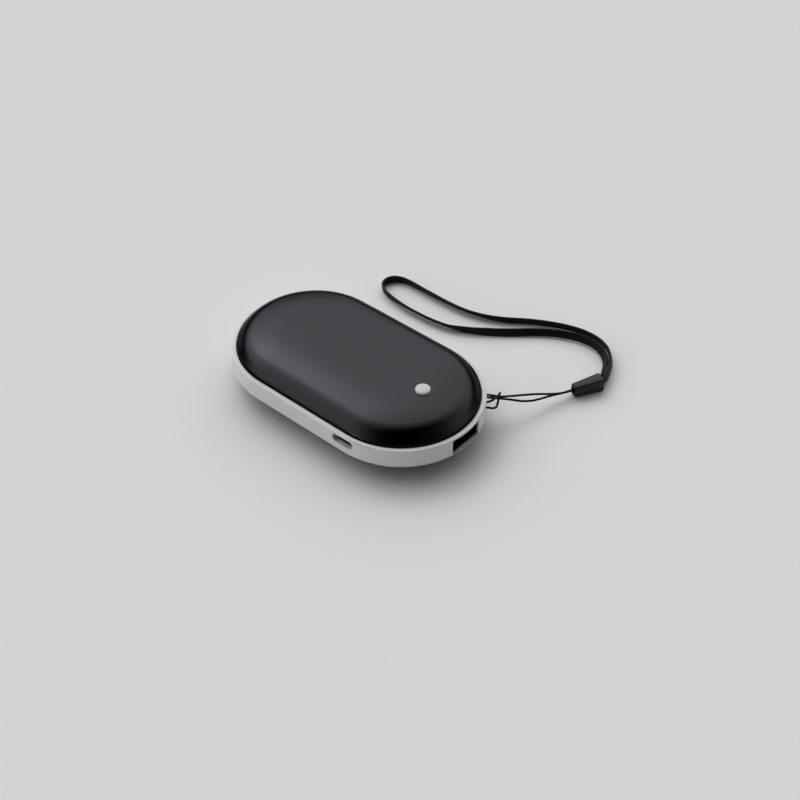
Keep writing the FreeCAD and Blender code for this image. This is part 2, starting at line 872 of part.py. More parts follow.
def make_outlet():
    """The socket's steel shell, its insert with the tongue, and four contacts under it."""
    shell = new_body("outlet_shell")
    ring = new_sketch(shell, "outlet_ring", "YZ_Plane", lift=outlet_rear)
    half_width, half_height = S.outlet_width / 2, S.outlet_height / 2
    low, high = frame_middle - half_height, frame_middle + half_height
    wall = S.outlet_wall
    draw_round_box(ring, -half_width, low, half_width, high, S.outlet_corner)
    inner_corner = S.outlet_corner - wall
    draw_round_box(
        ring, wall - half_width, low + wall, half_width - wall, high - wall, inner_corner
    )
    add(shell, ring, S.outlet_length)
    windows = new_sketch(shell, "outlet_windows", lift=high)
    window_front = outlet_front - S.outlet_window_front
    window_rear = window_front - S.outlet_window_length
    for side in (-1, 1):
        near = side * S.outlet_window_side - S.outlet_window_width / 2
        far = side * S.outlet_window_side + S.outlet_window_width / 2
        draw_box(windows, window_rear, near, window_front, far)
    cut(shell, windows, S.outlet_height)

    gap = wall + S.insert_gap
    insert = new_body("outlet_insert")
    section = new_sketch(insert, "outlet_block", "YZ_Plane", lift=outlet_rear)
    draw_round_box(
        section, gap - half_width, low + gap, half_width - gap, high - gap, inner_corner
    )
    add(insert, section, S.insert_block)
    tongue = new_sketch(insert, "outlet_tongue", "YZ_Plane", lift=outlet_rear)
    tongue_half = S.tongue_width / 2
    tongue_top = high - wall - S.tongue_top_gap
    tongue_bottom = tongue_top - S.tongue_thickness
    draw_box(tongue, -tongue_half, tongue_bottom, tongue_half, tongue_top)
    add(insert, tongue, S.outlet_length - S.tongue_setback)

    strip_rear = outlet_rear + S.insert_block
    strip_length = S.outlet_length - S.insert_block - S.tongue_setback - S.contact_setback
    places = [-S.contact_outer, -S.contact_inner, S.contact_inner, S.contact_outer]
    members = [
        block(
            f"outlet_contact_{number}",
            strip_rear + strip_length / 2,
            place,
            tongue_bottom - S.contact_thickness,
            strip_length,
            S.contact_width,
            S.contact_thickness,
        )
        for number, place in enumerate(places)
    ]
    group("outlet_contacts", members)


# Charging inlet


def inlet_outline(shrink):
    """The inlet's section, with two cut lower corners, taken in by shrink on all sides."""
    half_width = S.inlet_width / 2 - shrink
    low = inlet_middle - S.inlet_height / 2 + shrink
    high = inlet_middle + S.inlet_height / 2 - shrink
    chamfer = S.inlet_chamfer
    return [
        (inlet_x - half_width + chamfer, low),
        (inlet_x + half_width - chamfer, low),
        (inlet_x + half_width, low + chamfer),
        (inlet_x + half_width, high),
        (inlet_x - half_width, high),
        (inlet_x - half_width, low + chamfer),
    ]


def make_inlet():
    """The small socket's steel shell, its insert with the tongue, and its pins."""
    rear = inlet_front - S.inlet_length
    shell = new_body("inlet_shell")
    ring = new_sketch(shell, "inlet_ring", "XZ_Plane", lift=rear)
    draw_outline(ring, inlet_outline(ZERO))
    draw_outline(ring, inlet_outline(S.inlet_wall))
    add(shell, ring, S.inlet_length)

    insert = new_body("inlet_insert")
    section = new_sketch(insert, "inlet_block", "XZ_Plane", lift=rear)
    draw_outline(section, inlet_outline(S.inlet_wall + S.insert_gap))
    add(insert, section, S.inlet_block)
    tongue = new_sketch(insert, "inlet_tongue", "XZ_Plane", lift=rear)
    half_width, half_height = S.inlet_tongue_width / 2, S.inlet_tongue_thickness / 2
    low, high = inlet_middle - half_height, inlet_middle + half_height
    draw_box(tongue, inlet_x - half_width, low, inlet_x + half_width, high)
    add(insert, tongue, S.inlet_length - S.inlet_tongue_setback)

    pin_length = S.inlet_length - S.inlet_block - S.inlet_tongue_setback
    pin_middle = -(rear + S.inlet_block + pin_length / 2)
    members = [
        block(
            f"inlet_pin_{number}",
            inlet_x + place * S.pin_pitch,
            pin_middle,
            high,
            S.pin_width,
            pin_length,
            S.pin_thickness,
        )
        for number, place in enumerate((-2, -1, 0, 1, 2))
    ]
    group("inlet_pins", members)


# Circuit board, its screws and the parts on it


def make_board():
    """The board: round at the outlet's end, notched for the outlet, with an arm for the inlet."""
    notch_half = S.outlet_width / 2 + S.outlet_gap
    notch_rear = outlet_rear - S.outlet_gap
    notch_mouth = end_centre + root(square(board_radius) - square(notch_half))
    rear_side = root(square(board_radius) - square(board_rear - end_centre))
    arm_front, arm_rear = inlet_x + arm_half(), inlet_x - arm_half()
    arm_outer = S.inlet_bay_wall + S.board_gap - end_radius
    arm_inner = -(battery_half + S.board_gap)
    arm_root = -root(square(board_radius) - square(arm_front - end_centre))
    corners = [
        (board_rear, rear_side),
        (board_rear, arm_inner),
        (arm_rear, arm_inner),
        (arm_rear, arm_outer),
        (arm_front, arm_outer),
        (arm_front, arm_root),
        (notch_mouth, -notch_half),
        (notch_rear, -notch_half),
        (notch_rear, notch_half),
        (notch_mouth, notch_half),
    ]
    board = new_body("circuit_board")
    outline = new_sketch(board, "board_outline", lift=board_bottom)
    draw_outline(outline, corners, {5: (board_radius, 1), 9: (board_radius, 1)})
    add(board, outline, S.board_thickness)
    holes = new_sketch(board, "board_holes", lift=board_top)
    for x, y in screw_places():
        draw_circle(holes, x, y, S.screw_radius + S.screw_gap)
    cut(board, holes, S.board_thickness)


def make_screws():
    """Four pan-head screws with cross recesses."""
    members = []
    tip = board_top - S.screw_length
    floor = board_top + S.screw_head_height - S.screw_cross_depth
    long, wide, deep = S.screw_cross_length, S.screw_cross_width, S.screw_cross_depth
    for number, (x, y) in enumerate(screw_places()):
        whole = doc.addObject("Part::Fuse", f"screw_whole_{number}")
        whole.Base = rod(f"screw_shank_{number}", x, y, tip, S.screw_radius, S.screw_length)
        whole.Tool = rod(
            f"screw_head_{number}", x, y, board_top, S.screw_head_radius, S.screw_head_height
        )
        bars = doc.addObject("Part::Fuse", f"screw_cross_{number}")
        bars.Base = block(f"screw_bar_x_{number}", x, y, floor, long, wide, deep)
        bars.Tool = block(f"screw_bar_y_{number}", x, y, floor, wide, long, deep)
        screw = doc.addObject("Part::Cut", f"screw_{number}")
        screw.Base, screw.Tool = whole, bars
        members.append(screw)
    group("board_screws", members)


def make_switch():
    """The push switch: a square body, the snap dome in its well, and the stem above it."""
    body = new_body("switch_body")
    square_outline = new_sketch(body, "switch_square", lift=board_top)
    half = S.switch_size / 2
    draw_box(square_outline, button_x - half, -half, button_x + half, half)
    add(body, square_outline, S.switch_height)
    well = new_sketch(body, "switch_well", lift=switch_top)
    draw_circle(well, button_x, ZERO, S.stem_radius + S.stem_gap)
    cut(body, well, S.stem_depth + S.dome_gap + S.dome_height)

    floor = switch_top - S.stem_depth - S.dome_gap - S.dome_height
    dome = new_body("switch_dome")
    section = new_sketch(dome, "switch_dome_section", "XZ_Plane")
    reach = S.stem_radius
    rise = S.dome_height
    outer = (square(reach) + square(rise)) / (rise * 2)
    inner_reach = reach - S.dome_thickness * 2
    inner_rise = rise - S.dome_thickness
    inner = (square(inner_reach) + square(inner_rise)) / (inner_rise * 2)
    corners = [
        (ZERO, floor + inner_rise),
        (inner_reach, floor),
        (reach, floor),
        (ZERO, floor + rise),
    ]
    draw_outline(section, corners, {0: (inner, -1), 2: (outer, 1)})
    revolve(dome, section, 360)
    move(dome, x=button_x)

    stem = new_body("switch_stem")
    round_outline = new_sketch(stem, "switch_stem_round", lift=switch_top - S.stem_depth)
    draw_circle(round_outline, button_x, ZERO, S.stem_radius)
    add(stem, round_outline, S.stem_depth + S.stem_rise)


def make_button():
    """The button: a domed cap through the shell, a flange below the shell and a post."""
    button = new_body("power_button")
    section = new_sketch(button, "button_section", "XZ_Plane")
    crown = (square(S.button_radius) + square(S.button_crown)) / (S.button_crown * 2)
    flange_top = inner_top - S.button_flange_gap
    flange_bottom = flange_top - S.button_flange
    shoulder = case_top + S.button_side
    corners = [
        (ZERO, stem_top + S.button_rest_gap),
        (S.button_post_radius, stem_top + S.button_rest_gap),
        (S.button_post_radius, flange_bottom),
        (S.button_flange_radius, flange_bottom),
        (S.button_flange_radius, flange_top),
        (S.button_radius, flange_top),
        (S.button_radius, shoulder),
        (ZERO, shoulder + S.button_crown),
    ]
    draw_outline(section, corners, {6: (crown, 1)})
    revolve(button, section, 360)
    move(button, x=button_x)


def make_board_parts():
    """Status lamps beside the switch, two control chips, and the coil below the board."""
    lamp_side = S.switch_size / 2 + S.lamp_gap + S.lamp_width / 2
    lamps = [
        block(
            f"lamp_{number}",
            button_x + along * S.lamp_length,
            across * lamp_side,
            board_top,
            S.lamp_length,
            S.lamp_width,
            S.lamp_height,
        )
        for number, (along, across) in enumerate([(-1, 1), (1, 1), (-1, -1), (1, -1)])
    ]
    group("status_lamps", lamps)
    chip_x = button_x + S.chip_length / 2
    chips = [
        block(
            f"chip_{number}",
            chip_x,
            side * S.chip_side,
            board_top,
            S.chip_length,
            S.chip_width,
            S.chip_height,
        )
        for number, side in enumerate((-1, 1))
    ]
    group("control_chips", chips)
    coil_x = chip_x - S.lamp_length
    size = S.coil_size
    rear_screw_y = screw_places()[2][1]
    side = rear_screw_y - S.boss_radius - S.coil_gap - size / 2
    coil = doc.addObject("Part::Fuse", "converter_coil")
    coil.Label = "converter_coil"
    base_bottom = board_bottom - S.coil_base
    coil.Base = block("coil_base", coil_x, side, base_bottom, size, size, S.coil_base)
    core_bottom = board_bottom - S.coil_height
    core_height = S.coil_height - S.coil_base
    coil.Tool = rod("coil_core", coil_x, side, core_bottom, S.coil_core_radius, core_height)
    parts.append(coil)


# Battery, heaters and leads


def make_battery():
    """The flat cell with its sealed terrace, and the guard board that lies on the terrace."""
    cell = new_body("battery_cell")
    outline = new_sketch(cell, "battery_section", "YZ_Plane", lift=battery_rear)
    draw_round_box(
        outline, -battery_half, battery_bottom, battery_half, battery_top, S.battery_round
    )
    add(cell, outline, battery_front - battery_rear)
    terrace = new_sketch(cell, "battery_terrace", lift=terrace_top - S.terrace_thickness)
    side = battery_half - S.terrace_side
    tip = battery_front + S.terrace_length
    draw_box(terrace, battery_front - S.battery_round, -side, tip, side)
    add(cell, terrace, S.terrace_thickness)

    def draw(sketch):
        margin = S.guard_board_margin
        draw_box(sketch, battery_front + margin, margin - side, tip - margin, side - margin)

    plate("guard_board", draw, terrace_top, S.guard_board_thickness)


def make_heaters():
    """A heater film on the inner face of each shell, and the foam pad that presses it there."""

    def draw_film(sketch):
        draw_stadium(sketch, -end_centre, film_front_centre, film_radius)

    def draw_pad(sketch):
        rear = battery_rear + S.pad_rear_gap + pad_radius
        front = battery_front - S.pad_front_gap - pad_radius
        draw_stadium(sketch, rear, front, pad_radius)

    plate("upper_heater", draw_film, upper_film_bottom, S.film_thickness)
    plate("lower_heater", draw_film, inner_bottom, S.film_thickness)
    plate("upper_foam", draw_pad, battery_top, upper_film_bottom - battery_top)
    plate("lower_foam", draw_pad, lower_film_top, battery_bottom - lower_film_top)


def make_leads():
    """Battery leads from the guard board to the circuit board, and a pair to each heater film."""
    lead = S.lead_radius.value
    board_x = (board_rear + S.lead_inset).value
    guard_x = (battery_front + S.terrace_length / 2).value
    guard_top = (terrace_top + S.guard_board_thickness).value
    arch = guard_top + S.lead_lift.value
    for label, side in (("red_battery_lead", 1), ("black_battery_lead", -1)):
        y = side * (battery_half * S.battery_lead_share).value
        points = [
            Vector(guard_x, y, guard_top),
            Vector(guard_x, y, arch),
            Vector(board_x, y, arch),
            Vector(board_x, y, board_top.value),
        ]
        solid_part(label, round_tube(points, lead)[0])

    film_x = (battery_front - S.pad_front_gap + S.heater_lead_reach).value
    pitch = 2 * lead + S.lead_gap.value
    drop = S.heater_lead_drop.value
    pairs = (
        ("upper_heater_leads", 1, board_top.value, upper_film_bottom.value, -drop),
        ("lower_heater_leads", -1, board_bottom.value, lower_film_top.value, drop),
    )
    for label, side, start, finish, turn_back in pairs:
        solids = []
        for number in range(2):
            board_y = side * ((battery_half * S.heater_lead_share).value + number * pitch)
            film_y = side * ((battery_half * S.film_lead_share).value + number * pitch)
            points = [
                Vector(board_x, board_y, start),
                Vector(board_x, board_y, finish + turn_back),
                Vector(film_x, film_y, finish + turn_back),
                Vector(film_x, film_y, finish),
            ]
            solids.append(round_tube(points, lead)[0])
        solid_part(label, Part.makeCompound(solids))


# Strap


def clip_frame():
    """The clip's cord end, its direction along the floor and the direction across it."""
    angle = math.radians(S.clip_angle.value)
    tail = Vector(S.clip_x.value, S.clip_y.value, S.clip_head_height.value / 2)
    along = Vector(math.cos(angle), math.sin(angle), 0)
    across = Vector(-along.y, along.x, 0)
    return tail, along, across


def make_clip():
    """The moulded clip: it tapers towards the cord, with a socket in each end."""
    clip = new_body("strap_clip")
    ends = (
        ("tail", ZERO, S.clip_tail_width, S.clip_tail_height),
        ("head", S.clip_length, S.clip_head_width, S.clip_head_height),
    )
    sketches = []
    for name, place, width, height in ends:
        section = new_sketch(clip, f"clip_{name}", "YZ_Plane", lift=place)
        half_width, half_height = width / 2, height / 2
        draw_round_box(section, -half_width, -half_height, half_width, half_height, S.clip_corner)
        sketches.append(section)
    loft = clip.newObject("PartDesign::AdditiveLoft", "clip_loft")
    loft.Profile = sketches[0]
    loft.Sections = sketches[1:]
    loft.Ruled = True
    doc.recompute()
    web_half = S.web_spacing / 2 + S.web_thickness / 2 + S.strap_gap
    web_rise = S.web_width / 2 + S.strap_gap
    cord_half, cord_rise = S.cord_socket_width / 2, S.cord_socket_height / 2
    sockets = (
        ("cord", ZERO, cord_half, cord_rise, S.cord_socket_depth, True),
        ("web", S.clip_length, web_half, web_rise, S.web_socket_depth, False),
    )
    for name, place, half_width, half_height, depth, forward in sockets:
        mouth = new_sketch(clip, f"clip_{name}_socket", "YZ_Plane", lift=place)
        draw_box(mouth, -half_width, -half_height, half_width, half_height)
        cut(clip, mouth, depth, reverse=forward)
    clip.Placement = Placement(Vector(0, 0, 0), Rotation(Vector(0, 0, 1), S.clip_angle.value))
    move(clip, S.clip_x, S.clip_y, S.clip_head_height / 2)


def eye_turn(far_level, near_level):
    """Corners of the cord's half turn behind the eye's bar, from the far side of the eye to the
    near side, between those levels."""
    radius = S.eye_bar_half + S.eye_channel / 2
    steps = 4
    corner_radius = radius.value / math.cos(math.pi / steps / 2)
    places = [(radius.value, radius.value)]
    for i in range(steps):
        turn = (2 * i + 1) * math.pi / steps / 2
        places.append((corner_radius * math.cos(turn), -corner_radius * math.sin(turn)))
    places.append((-radius.value, radius.value))
    corners = []
    for i, (aside, outward) in enumerate(places):
        x, y = eye_place(as_size(aside), as_size(outward))
        level = far_level + (near_level - far_level) * i / (len(places) - 1)
        corners.append(Vector(x.value, y.value, level.value))
    return corners


def make_cord():
    """The thin cord: from the clip, round the eye's bar, out in a bight that holds its own two
    strands, back round the bar and to the clip again."""
    tail, along, across = clip_frame()
    start = tail + along * S.cord_socket_depth.value
    mouth = tail - along * S.cord_socket_depth.value
    room = S.cord_socket_width / 2 - S.cord_radius - S.strap_gap
    rise = S.cord_socket_height / 2 - S.cord_radius - S.strap_gap
    beside = Vector(0, 0, rise.value) - across * room.value
    strands_level = frame_middle - S.strand_drop
    half_strands, half_bight = S.strand_spacing / 2, S.bight_spacing / 2
    points = [start + beside, mouth + beside]
    points += [Vector(*place) for place in UPPER_STRAND]
    points += eye_turn(strands_level + half_strands, frame_middle + half_bight)
    points += [Vector(*place) for place in BIGHT]
    points += eye_turn(strands_level - half_strands, frame_middle - half_bight)[::-1]
    points += [Vector(*place) for place in LOWER_STRAND]
    points += [mouth - beside, start - beside]
    solid, wire, radii = round_tube(points, S.cord_radius.value)
    thickness = 2 * S.cord_radius.value
    print("cord length", round(wire.Length, 1), "radii", [round(r, 2) for r in radii])
    print("cord least gap to itself", round(least_gap(wire, thickness, 4 * thickness), 2))
    solid_part("strap_cord", solid)


def make_webbing():
    """The flat webbing: a loop from the clip's head and back to it, standing on its edge."""
    tail, along, across = clip_frame()
    inside = tail + along * (S.clip_length - S.web_socket_depth).value
    mouth = tail + along * (S.clip_length + S.web_straight).value
    beside = across * (S.web_spacing / 2).value
    points = [inside - beside, mouth - beside]
    points += [Vector(*place) for place in WEBBING]
    points += [mouth + beside, inside + beside]
    thickness = S.web_thickness.value
    solid, wire, radii = flat_band(points, S.web_width.value, thickness)
    print("webbing length", round(wire.Length, 1), "radii", [round(r, 1) for r in radii])
    print("webbing least gap to itself", round(least_gap(wire, thickness, 20 * thickness), 2))
    solid_part("strap_webbing", solid)


def check_and_write():
    """Stops on any failed feature or shape, then writes one file per sub-part."""
    doc.recompute()
    for thing in doc.Objects:
        if "Invalid" in thing.State or "Error" in thing.State:
            raise RuntimeError(f"{thing.Name} failed: {thing.State}")
    for part in parts:
        if part.Shape.isNull() or not part.Shape.isValid() or not part.Shape.Solids:
            raise RuntimeError(f"{part.Label} has no valid solid")
    os.makedirs("parts", exist_ok=True)
    for part in parts:
        part.Shape.exportStep(os.path.join("parts", f"{part.Label}.step"))
    print(len(parts), "sub-parts written")


make_frame()
make_shells()
make_seal("upper_seal", upper_ledge)
make_seal("lower_seal", lower_ledge - S.seal_thickness)
make_outlet()
make_inlet()
make_board()
make_screws()
make_switch()
make_button()
make_board_parts()
make_battery()
make_heaters()
make_leads()
make_clip()
make_cord()
make_webbing()
check_and_write()
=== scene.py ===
"""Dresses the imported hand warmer.

Gives its solids their finishes, and makes its button, snap dome, foam pads, clip, cord and webbing.
"""

import math

import bpy
from mathutils import Matrix, Vector


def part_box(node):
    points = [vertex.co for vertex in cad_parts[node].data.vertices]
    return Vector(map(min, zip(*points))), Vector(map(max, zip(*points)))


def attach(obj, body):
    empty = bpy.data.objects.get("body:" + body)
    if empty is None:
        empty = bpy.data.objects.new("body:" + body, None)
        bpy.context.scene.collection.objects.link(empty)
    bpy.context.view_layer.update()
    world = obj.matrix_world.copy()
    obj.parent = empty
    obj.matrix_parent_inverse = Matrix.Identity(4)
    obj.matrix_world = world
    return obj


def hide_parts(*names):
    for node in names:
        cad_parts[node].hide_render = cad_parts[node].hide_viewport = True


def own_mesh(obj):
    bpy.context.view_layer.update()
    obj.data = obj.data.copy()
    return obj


bl_info = {
    "name": "Hand warmer dressing",
    "version": (1, 0, 0),
    "blender": (4, 5, 0),
    "location": "3D View > Sidebar > Hand warmer",
    "description": "Finishes and soft pieces of a rechargeable hand warmer with a wrist strap",
    "category": "Object",
}

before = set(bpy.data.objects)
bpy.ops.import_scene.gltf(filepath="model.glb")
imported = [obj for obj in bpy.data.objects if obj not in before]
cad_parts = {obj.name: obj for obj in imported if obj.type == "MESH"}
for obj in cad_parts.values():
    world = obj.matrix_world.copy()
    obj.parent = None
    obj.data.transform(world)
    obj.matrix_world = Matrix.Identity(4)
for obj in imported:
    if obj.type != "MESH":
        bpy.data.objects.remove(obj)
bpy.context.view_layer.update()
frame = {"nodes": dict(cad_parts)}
UP = Vector((0.0, 0.0, 1.0))

# The cord starts in the clip's tail, passes round the bar of the frame's eye as a lark's head,
# and returns.
CORD_ROUTE = [
    (0.05814, 0.04992, 0.00315),
    (0.05695, 0.04738, 0.00315),
    (0.05600, 0.04470, 0.00360),
    (0.05390, 0.04070, 0.00460),
    (0.05120, 0.03630, 0.00610),
    (0.04880, 0.03160, 0.00750),
    (0.04660, 0.02700, 0.00880),
    (0.04440, 0.02340, 0.00960),
    (0.04100, 0.02122, 0.01010),
    (0.03831, 0.01893, 0.01033),
    (0.03815, 0.01686, 0.01056),
    (0.03949, 0.01529, 0.01079),
    (0.04156, 0.01512, 0.01102),
    (0.04425, 0.01742, 0.01125),
    (0.04490, 0.01930, 0.01170),
    (0.04490, 0.02160, 0.01160),
    (0.04410, 0.02370, 0.01090),
    (0.04310, 0.02500, 0.00970),
    (0.04290, 0.02500, 0.00840),
    (0.04350, 0.02390, 0.00740),
    (0.04440, 0.02220, 0.00710),
    (0.04540, 0.02040, 0.00750),
    (0.04520, 0.01840, 0.00820),
    (0.04425, 0.01742, 0.00875),
    (0.04156, 0.01512, 0.00878),
    (0.03949, 0.01529, 0.00881),
    (0.03815, 0.01686, 0.00884),
    (0.03831, 0.01893, 0.00887),
    (0.04100, 0.02122, 0.00890),
    (0.04410, 0.02360, 0.00850),
    (0.04630, 0.02680, 0.00720),
    (0.04860, 0.02990, 0.00560),
    (0.05060, 0.03330, 0.00450),
    (0.05200, 0.03720, 0.00370),
    (0.05330, 0.04120, 0.00320),
    (0.05520, 0.04520, 0.00260),
    (0.05586, 0.04788, 0.00215),
    (0.05705, 0.05042, 0.00215),
]

# The webbing leaves the clip's head, lies on the floor as one long loop, and comes back beside itself.
WEBBING_ROUTE = [
    (0.06161, 0.05690, 0.00265),
    (0.06288, 0.05962, 0.00265),
    (0.06100, 0.06520, 0.00250),
    (0.05840, 0.07090, 0.00230),
    (0.05440, 0.07570, 0.00210),
    (0.04840, 0.07840, 0.00190),
    (0.04140, 0.07860, 0.00180),
    (0.03420, 0.07670, 0.00170),
    (0.02720, 0.07360, 0.00160),
    (0.02060, 0.06970, 0.00155),
    (0.01400, 0.06480, 0.00155),
    (0.00680, 0.06170, 0.00155),
    (-0.00120, 0.05980, 0.00155),
    (-0.00980, 0.05950, 0.00155),
    (-0.01820, 0.05945, 0.00155),
    (-0.02580, 0.05970, 0.00155),
    (-0.03060, 0.05890, 0.00155),
    (-0.03360, 0.05660, 0.00155),
    (-0.03400, 0.05280, 0.00155),
    (-0.03160, 0.05000, 0.00155),
    (-0.02720, 0.04820, 0.00155),
    (-0.02040, 0.04750, 0.00155),
    (-0.01260, 0.04730, 0.00155),
    (-0.00500, 0.04770, 0.00155),
    (0.00240, 0.04910, 0.00155),
    (0.00920, 0.05250, 0.00155),
    (0.01560, 0.05680, 0.00155),
    (0.02140, 0.06140, 0.00160),
    (0.02740, 0.06690, 0.00165),
    (0.03420, 0.07160, 0.00175),
    (0.04160, 0.07480, 0.00190),
    (0.04880, 0.07520, 0.00210),
    (0.05420, 0.07260, 0.00230),
    (0.05760, 0.06880, 0.00245),
    (0.05920, 0.06480, 0.00260),
    (0.06143, 0.06030, 0.00265),
    (0.06016, 0.05758, 0.00265),
]

# Shares of the webbing's length, and the degrees that the band leans there towards the inside of
# its loop.
WEBBING_LEAN = [
    (0.00, 0.0),
    (0.011, 0.0),
    (0.025, 13.0),
    (0.06, 17.0),
    (0.14, 18.0),
    (0.27, 20.0),
    (0.33, 38.0),
    (0.37, 36.0),
    (0.42, 26.0),
    (0.49, 8.0),
    (0.54, -20.0),
    (0.59, -42.0),
    (0.66, -42.0),
    (0.70, -10.0),
    (0.73, 14.0),
    (0.80, 26.0),
    (0.88, 28.0),
    (0.92, 26.0),
    (0.95, 22.0),
    (0.97, 14.0),
    (0.985, 2.0),
    (1.00, 0.0),
]

# Where the photograph was taken from, and the ways that the camera's right and back face.
CAMERA_PLACE = (0.25061, -0.27108, 0.33576)
CAMERA_RIGHT = (0.7595, 0.6505, 0.0028)
CAMERA_BACK = (0.4783, -0.5613, 0.6754)

# How slowly the softbox and the ceiling fade from their middle.
SOFTBOX_SPREAD = 0.022
CEILING_SPREAD = 0.927

# Low white cards: heading and height in degrees, how slowly each fades from its middle, brightness.
LOW_CARDS = (
    (252.0, 5.0, 0.028, 2.65),
    (38.0, 22.0, 0.120, 0.40),
    (122.0, 20.0, 0.035, 0.80),
)

# Sines of the heights at which the light from above starts and is whole, and at which the walls'
# pale foot ends and is whole.
HORIZON_FADE = (0.170, 0.478)
WALL_FADE = (0.050, 0.028)

# Cosines of the angles from the screen's middle within which it is dark, and beyond which it is gone.
SCREEN_FADE = (0.9, 0.118)


class Field:
    """A number that changes over a surface; sums on it add Math nodes to its finish."""

    def __init__(self, finish, socket):
        self.finish = finish
        self.socket = socket

    def __add__(self, other):
        return self.finish.math("ADD", self, other)

    def __sub__(self, other):
        return self.finish.math("SUBTRACT", self, other)

    def __rsub__(self, other):
        return self.finish.math("SUBTRACT", other, self)

    def __mul__(self, other):
        return self.finish.math("MULTIPLY", self, other)

    def __truediv__(self, other):
        return self.finish.math("DIVIDE", self, other)

    def __mod__(self, other):
        return self.finish.math("FLOORED_MODULO", self, other)

    def __gt__(self, other):
        return self.finish.math("GREATER_THAN", self, other)

    def __lt__(self, other):
        return self.finish.math("LESS_THAN", self, other)

    def __abs__(self):
        return self.finish.math("ABSOLUTE", self)

    __radd__ = __add__
    __rmul__ = __mul__

    def sine(self):
        """The sine of the value, in radians."""
        return self.finish.math("SINE", self)

    def floor(self):
        """The whole number below the value."""
        return self.finish.math("FLOOR", self)

    def power_of_e(self):
        """e raised to the value."""
        return self.finish.math("EXPONENT", self)


class Nodes:
    """A node tree that is filled node by node."""

    def __init__(self, tree, shader):
        self.tree = tree
        self.shader = tree.nodes[shader]

    def feed(self, node, sockets):
        """Sets or links a node's sockets, which are given by name or by number."""
        for key, value in sockets.items():
            if isinstance(value, Field):
                self.tree.links.new(value.socket, node.inputs[key])
            else:
                node.inputs[key].default_value = value

    def node(self, kind, settings=None, sockets=None, output=0):
        """Adds a node of any type and gives one of its outputs."""
        node = self.tree.nodes.new(kind)
        for key, value in (settings or {}).items():
            setattr(node, key, value)
        self.feed(node, sockets or {})
        return Field(self, node.outputs[output])

    def math(self, operation, *values):
        """A Math node on numbers or fields."""
        return self.node("ShaderNodeMath", {"operation": operation}, dict(enumerate(values)))

    def surface(self, **sockets):
        """Sets the shader's sockets, whose names are written with _ for spaces."""
        self.feed(self.shader, {key.replace("_", " "): value for key, value in sockets.items()})

    def place(self):
        """The point on the piece, in metres."""
        return self.node("ShaderNodeTexCoord", output="Object")

    def dot(self, first, second):
        """How far two directions agree, from -1 to 1."""
        return self.node("ShaderNodeVectorMath", {"operation": "DOT_PRODUCT"}, {0: first, 1: second}, 1)

    def axes(self, vector):
        """The three numbers of a point."""
        split = self.node("ShaderNodeSeparateXYZ", sockets={0: vector})
        return [Field(self, out) for out in split.socket.node.outputs]

    def stretch(self, vector, *shares):
        """A point with each of its numbers scaled."""
        return self.node("ShaderNodeVectorMath", {"operation": "MULTIPLY"}, {0: vector, 1: shares})

    def noise(self, vector, scale, detail=2.0, roughness=0.5):
        """Cloudy noise from 0 to 1, with so many waves to the metre."""
        return self.node("ShaderNodeTexNoise", None, {
            "Vector": vector, "Scale": scale, "Detail": detail, "Roughness": roughness})

    def cells(self, vector, scale, feature="F1"):
        """The distance to the next cell's middle or border, with so many cells to the metre."""
        return self.node("ShaderNodeTexVoronoi", {"feature": feature}, {
            "Vector": vector, "Scale": scale})

    def ramp(self, field, low, high):
        """The field stretched so that low gives 0 and high gives 1."""
        return self.node("ShaderNodeMapRange", {"interpolation_type": "SMOOTHSTEP"}, {
            "Value": field, "From Min": low, "From Max": high})

    def mix(self, mask, first, second):
        """The first colour where the mask is 0, the second where it is 1."""
        return self.node("ShaderNodeMix", {"data_type": "RGBA"}, {0: mask, 6: first, 7: second}, 2)

    def bump(self, height, depth, under=None):
        """A normal from a height of 0 to 1, so many metres deep."""
        sockets = {"Height": height, "Distance": depth, "Strength": 1.0}
        if under:
            sockets["Normal"] = under
        return self.node("ShaderNodeBump", None, sockets, "Normal")


class Finish(Nodes):
    """One procedural material, made round a Principled shader."""

    def __init__(self, name, **surface):
        self.material = bpy.data.materials.new(name)
        self.material.use_nodes = True
        super().__init__(self.material.node_tree, "Principled BSDF")
        self.surface(**surface)


def tone(colour, share):
    """A colour made lighter or darker by a share."""
    return tuple(min(1.0, part * share) for part in colour[:3]) + (1.0,)


def blasted_anodising(colour, middle, rim):
    """Dyed anodised aluminium, bead-blasted to a satin, with painted shade along the rim."""
    finish = Finish("blasted_anodising", Metallic=1.0, Specular_Tint=(0.5, 0.5, 0.5, 1.0))
    place = finish.place()
    fade_start, fade_end = rim + 0.0005, rim + 0.0015
    # Painted shade: the colour is a tenth of the dye within 0.5 mm of the frame's faces, fading out by
    # 1.5 mm.
    painted_rim_shade = finish.ramp(abs(finish.axes(place)[2] - middle), fade_end, fade_start)
    pits = finish.noise(place, 5200.0, 2.0, 0.6)
    clouds = finish.noise(place, 38.0, 3.0)
    handling = finish.ramp(finish.noise(place, 120.0, 4.0, 0.6), 0.45, 0.75)
    finish.surface(
        # The rim's darker colour is painted shade where the shell meets the frame.
        Base_Color=finish.mix(painted_rim_shade, finish.mix(clouds, tone(colour, 0.95), tone(colour, 1.05)),
                              tone(colour, 0.10)),
        Roughness=0.15 + clouds * 0.03 + handling * 0.015 + pits * 0.02,
        Normal=finish.bump(pits, 0.000004),
    )
    return finish.material


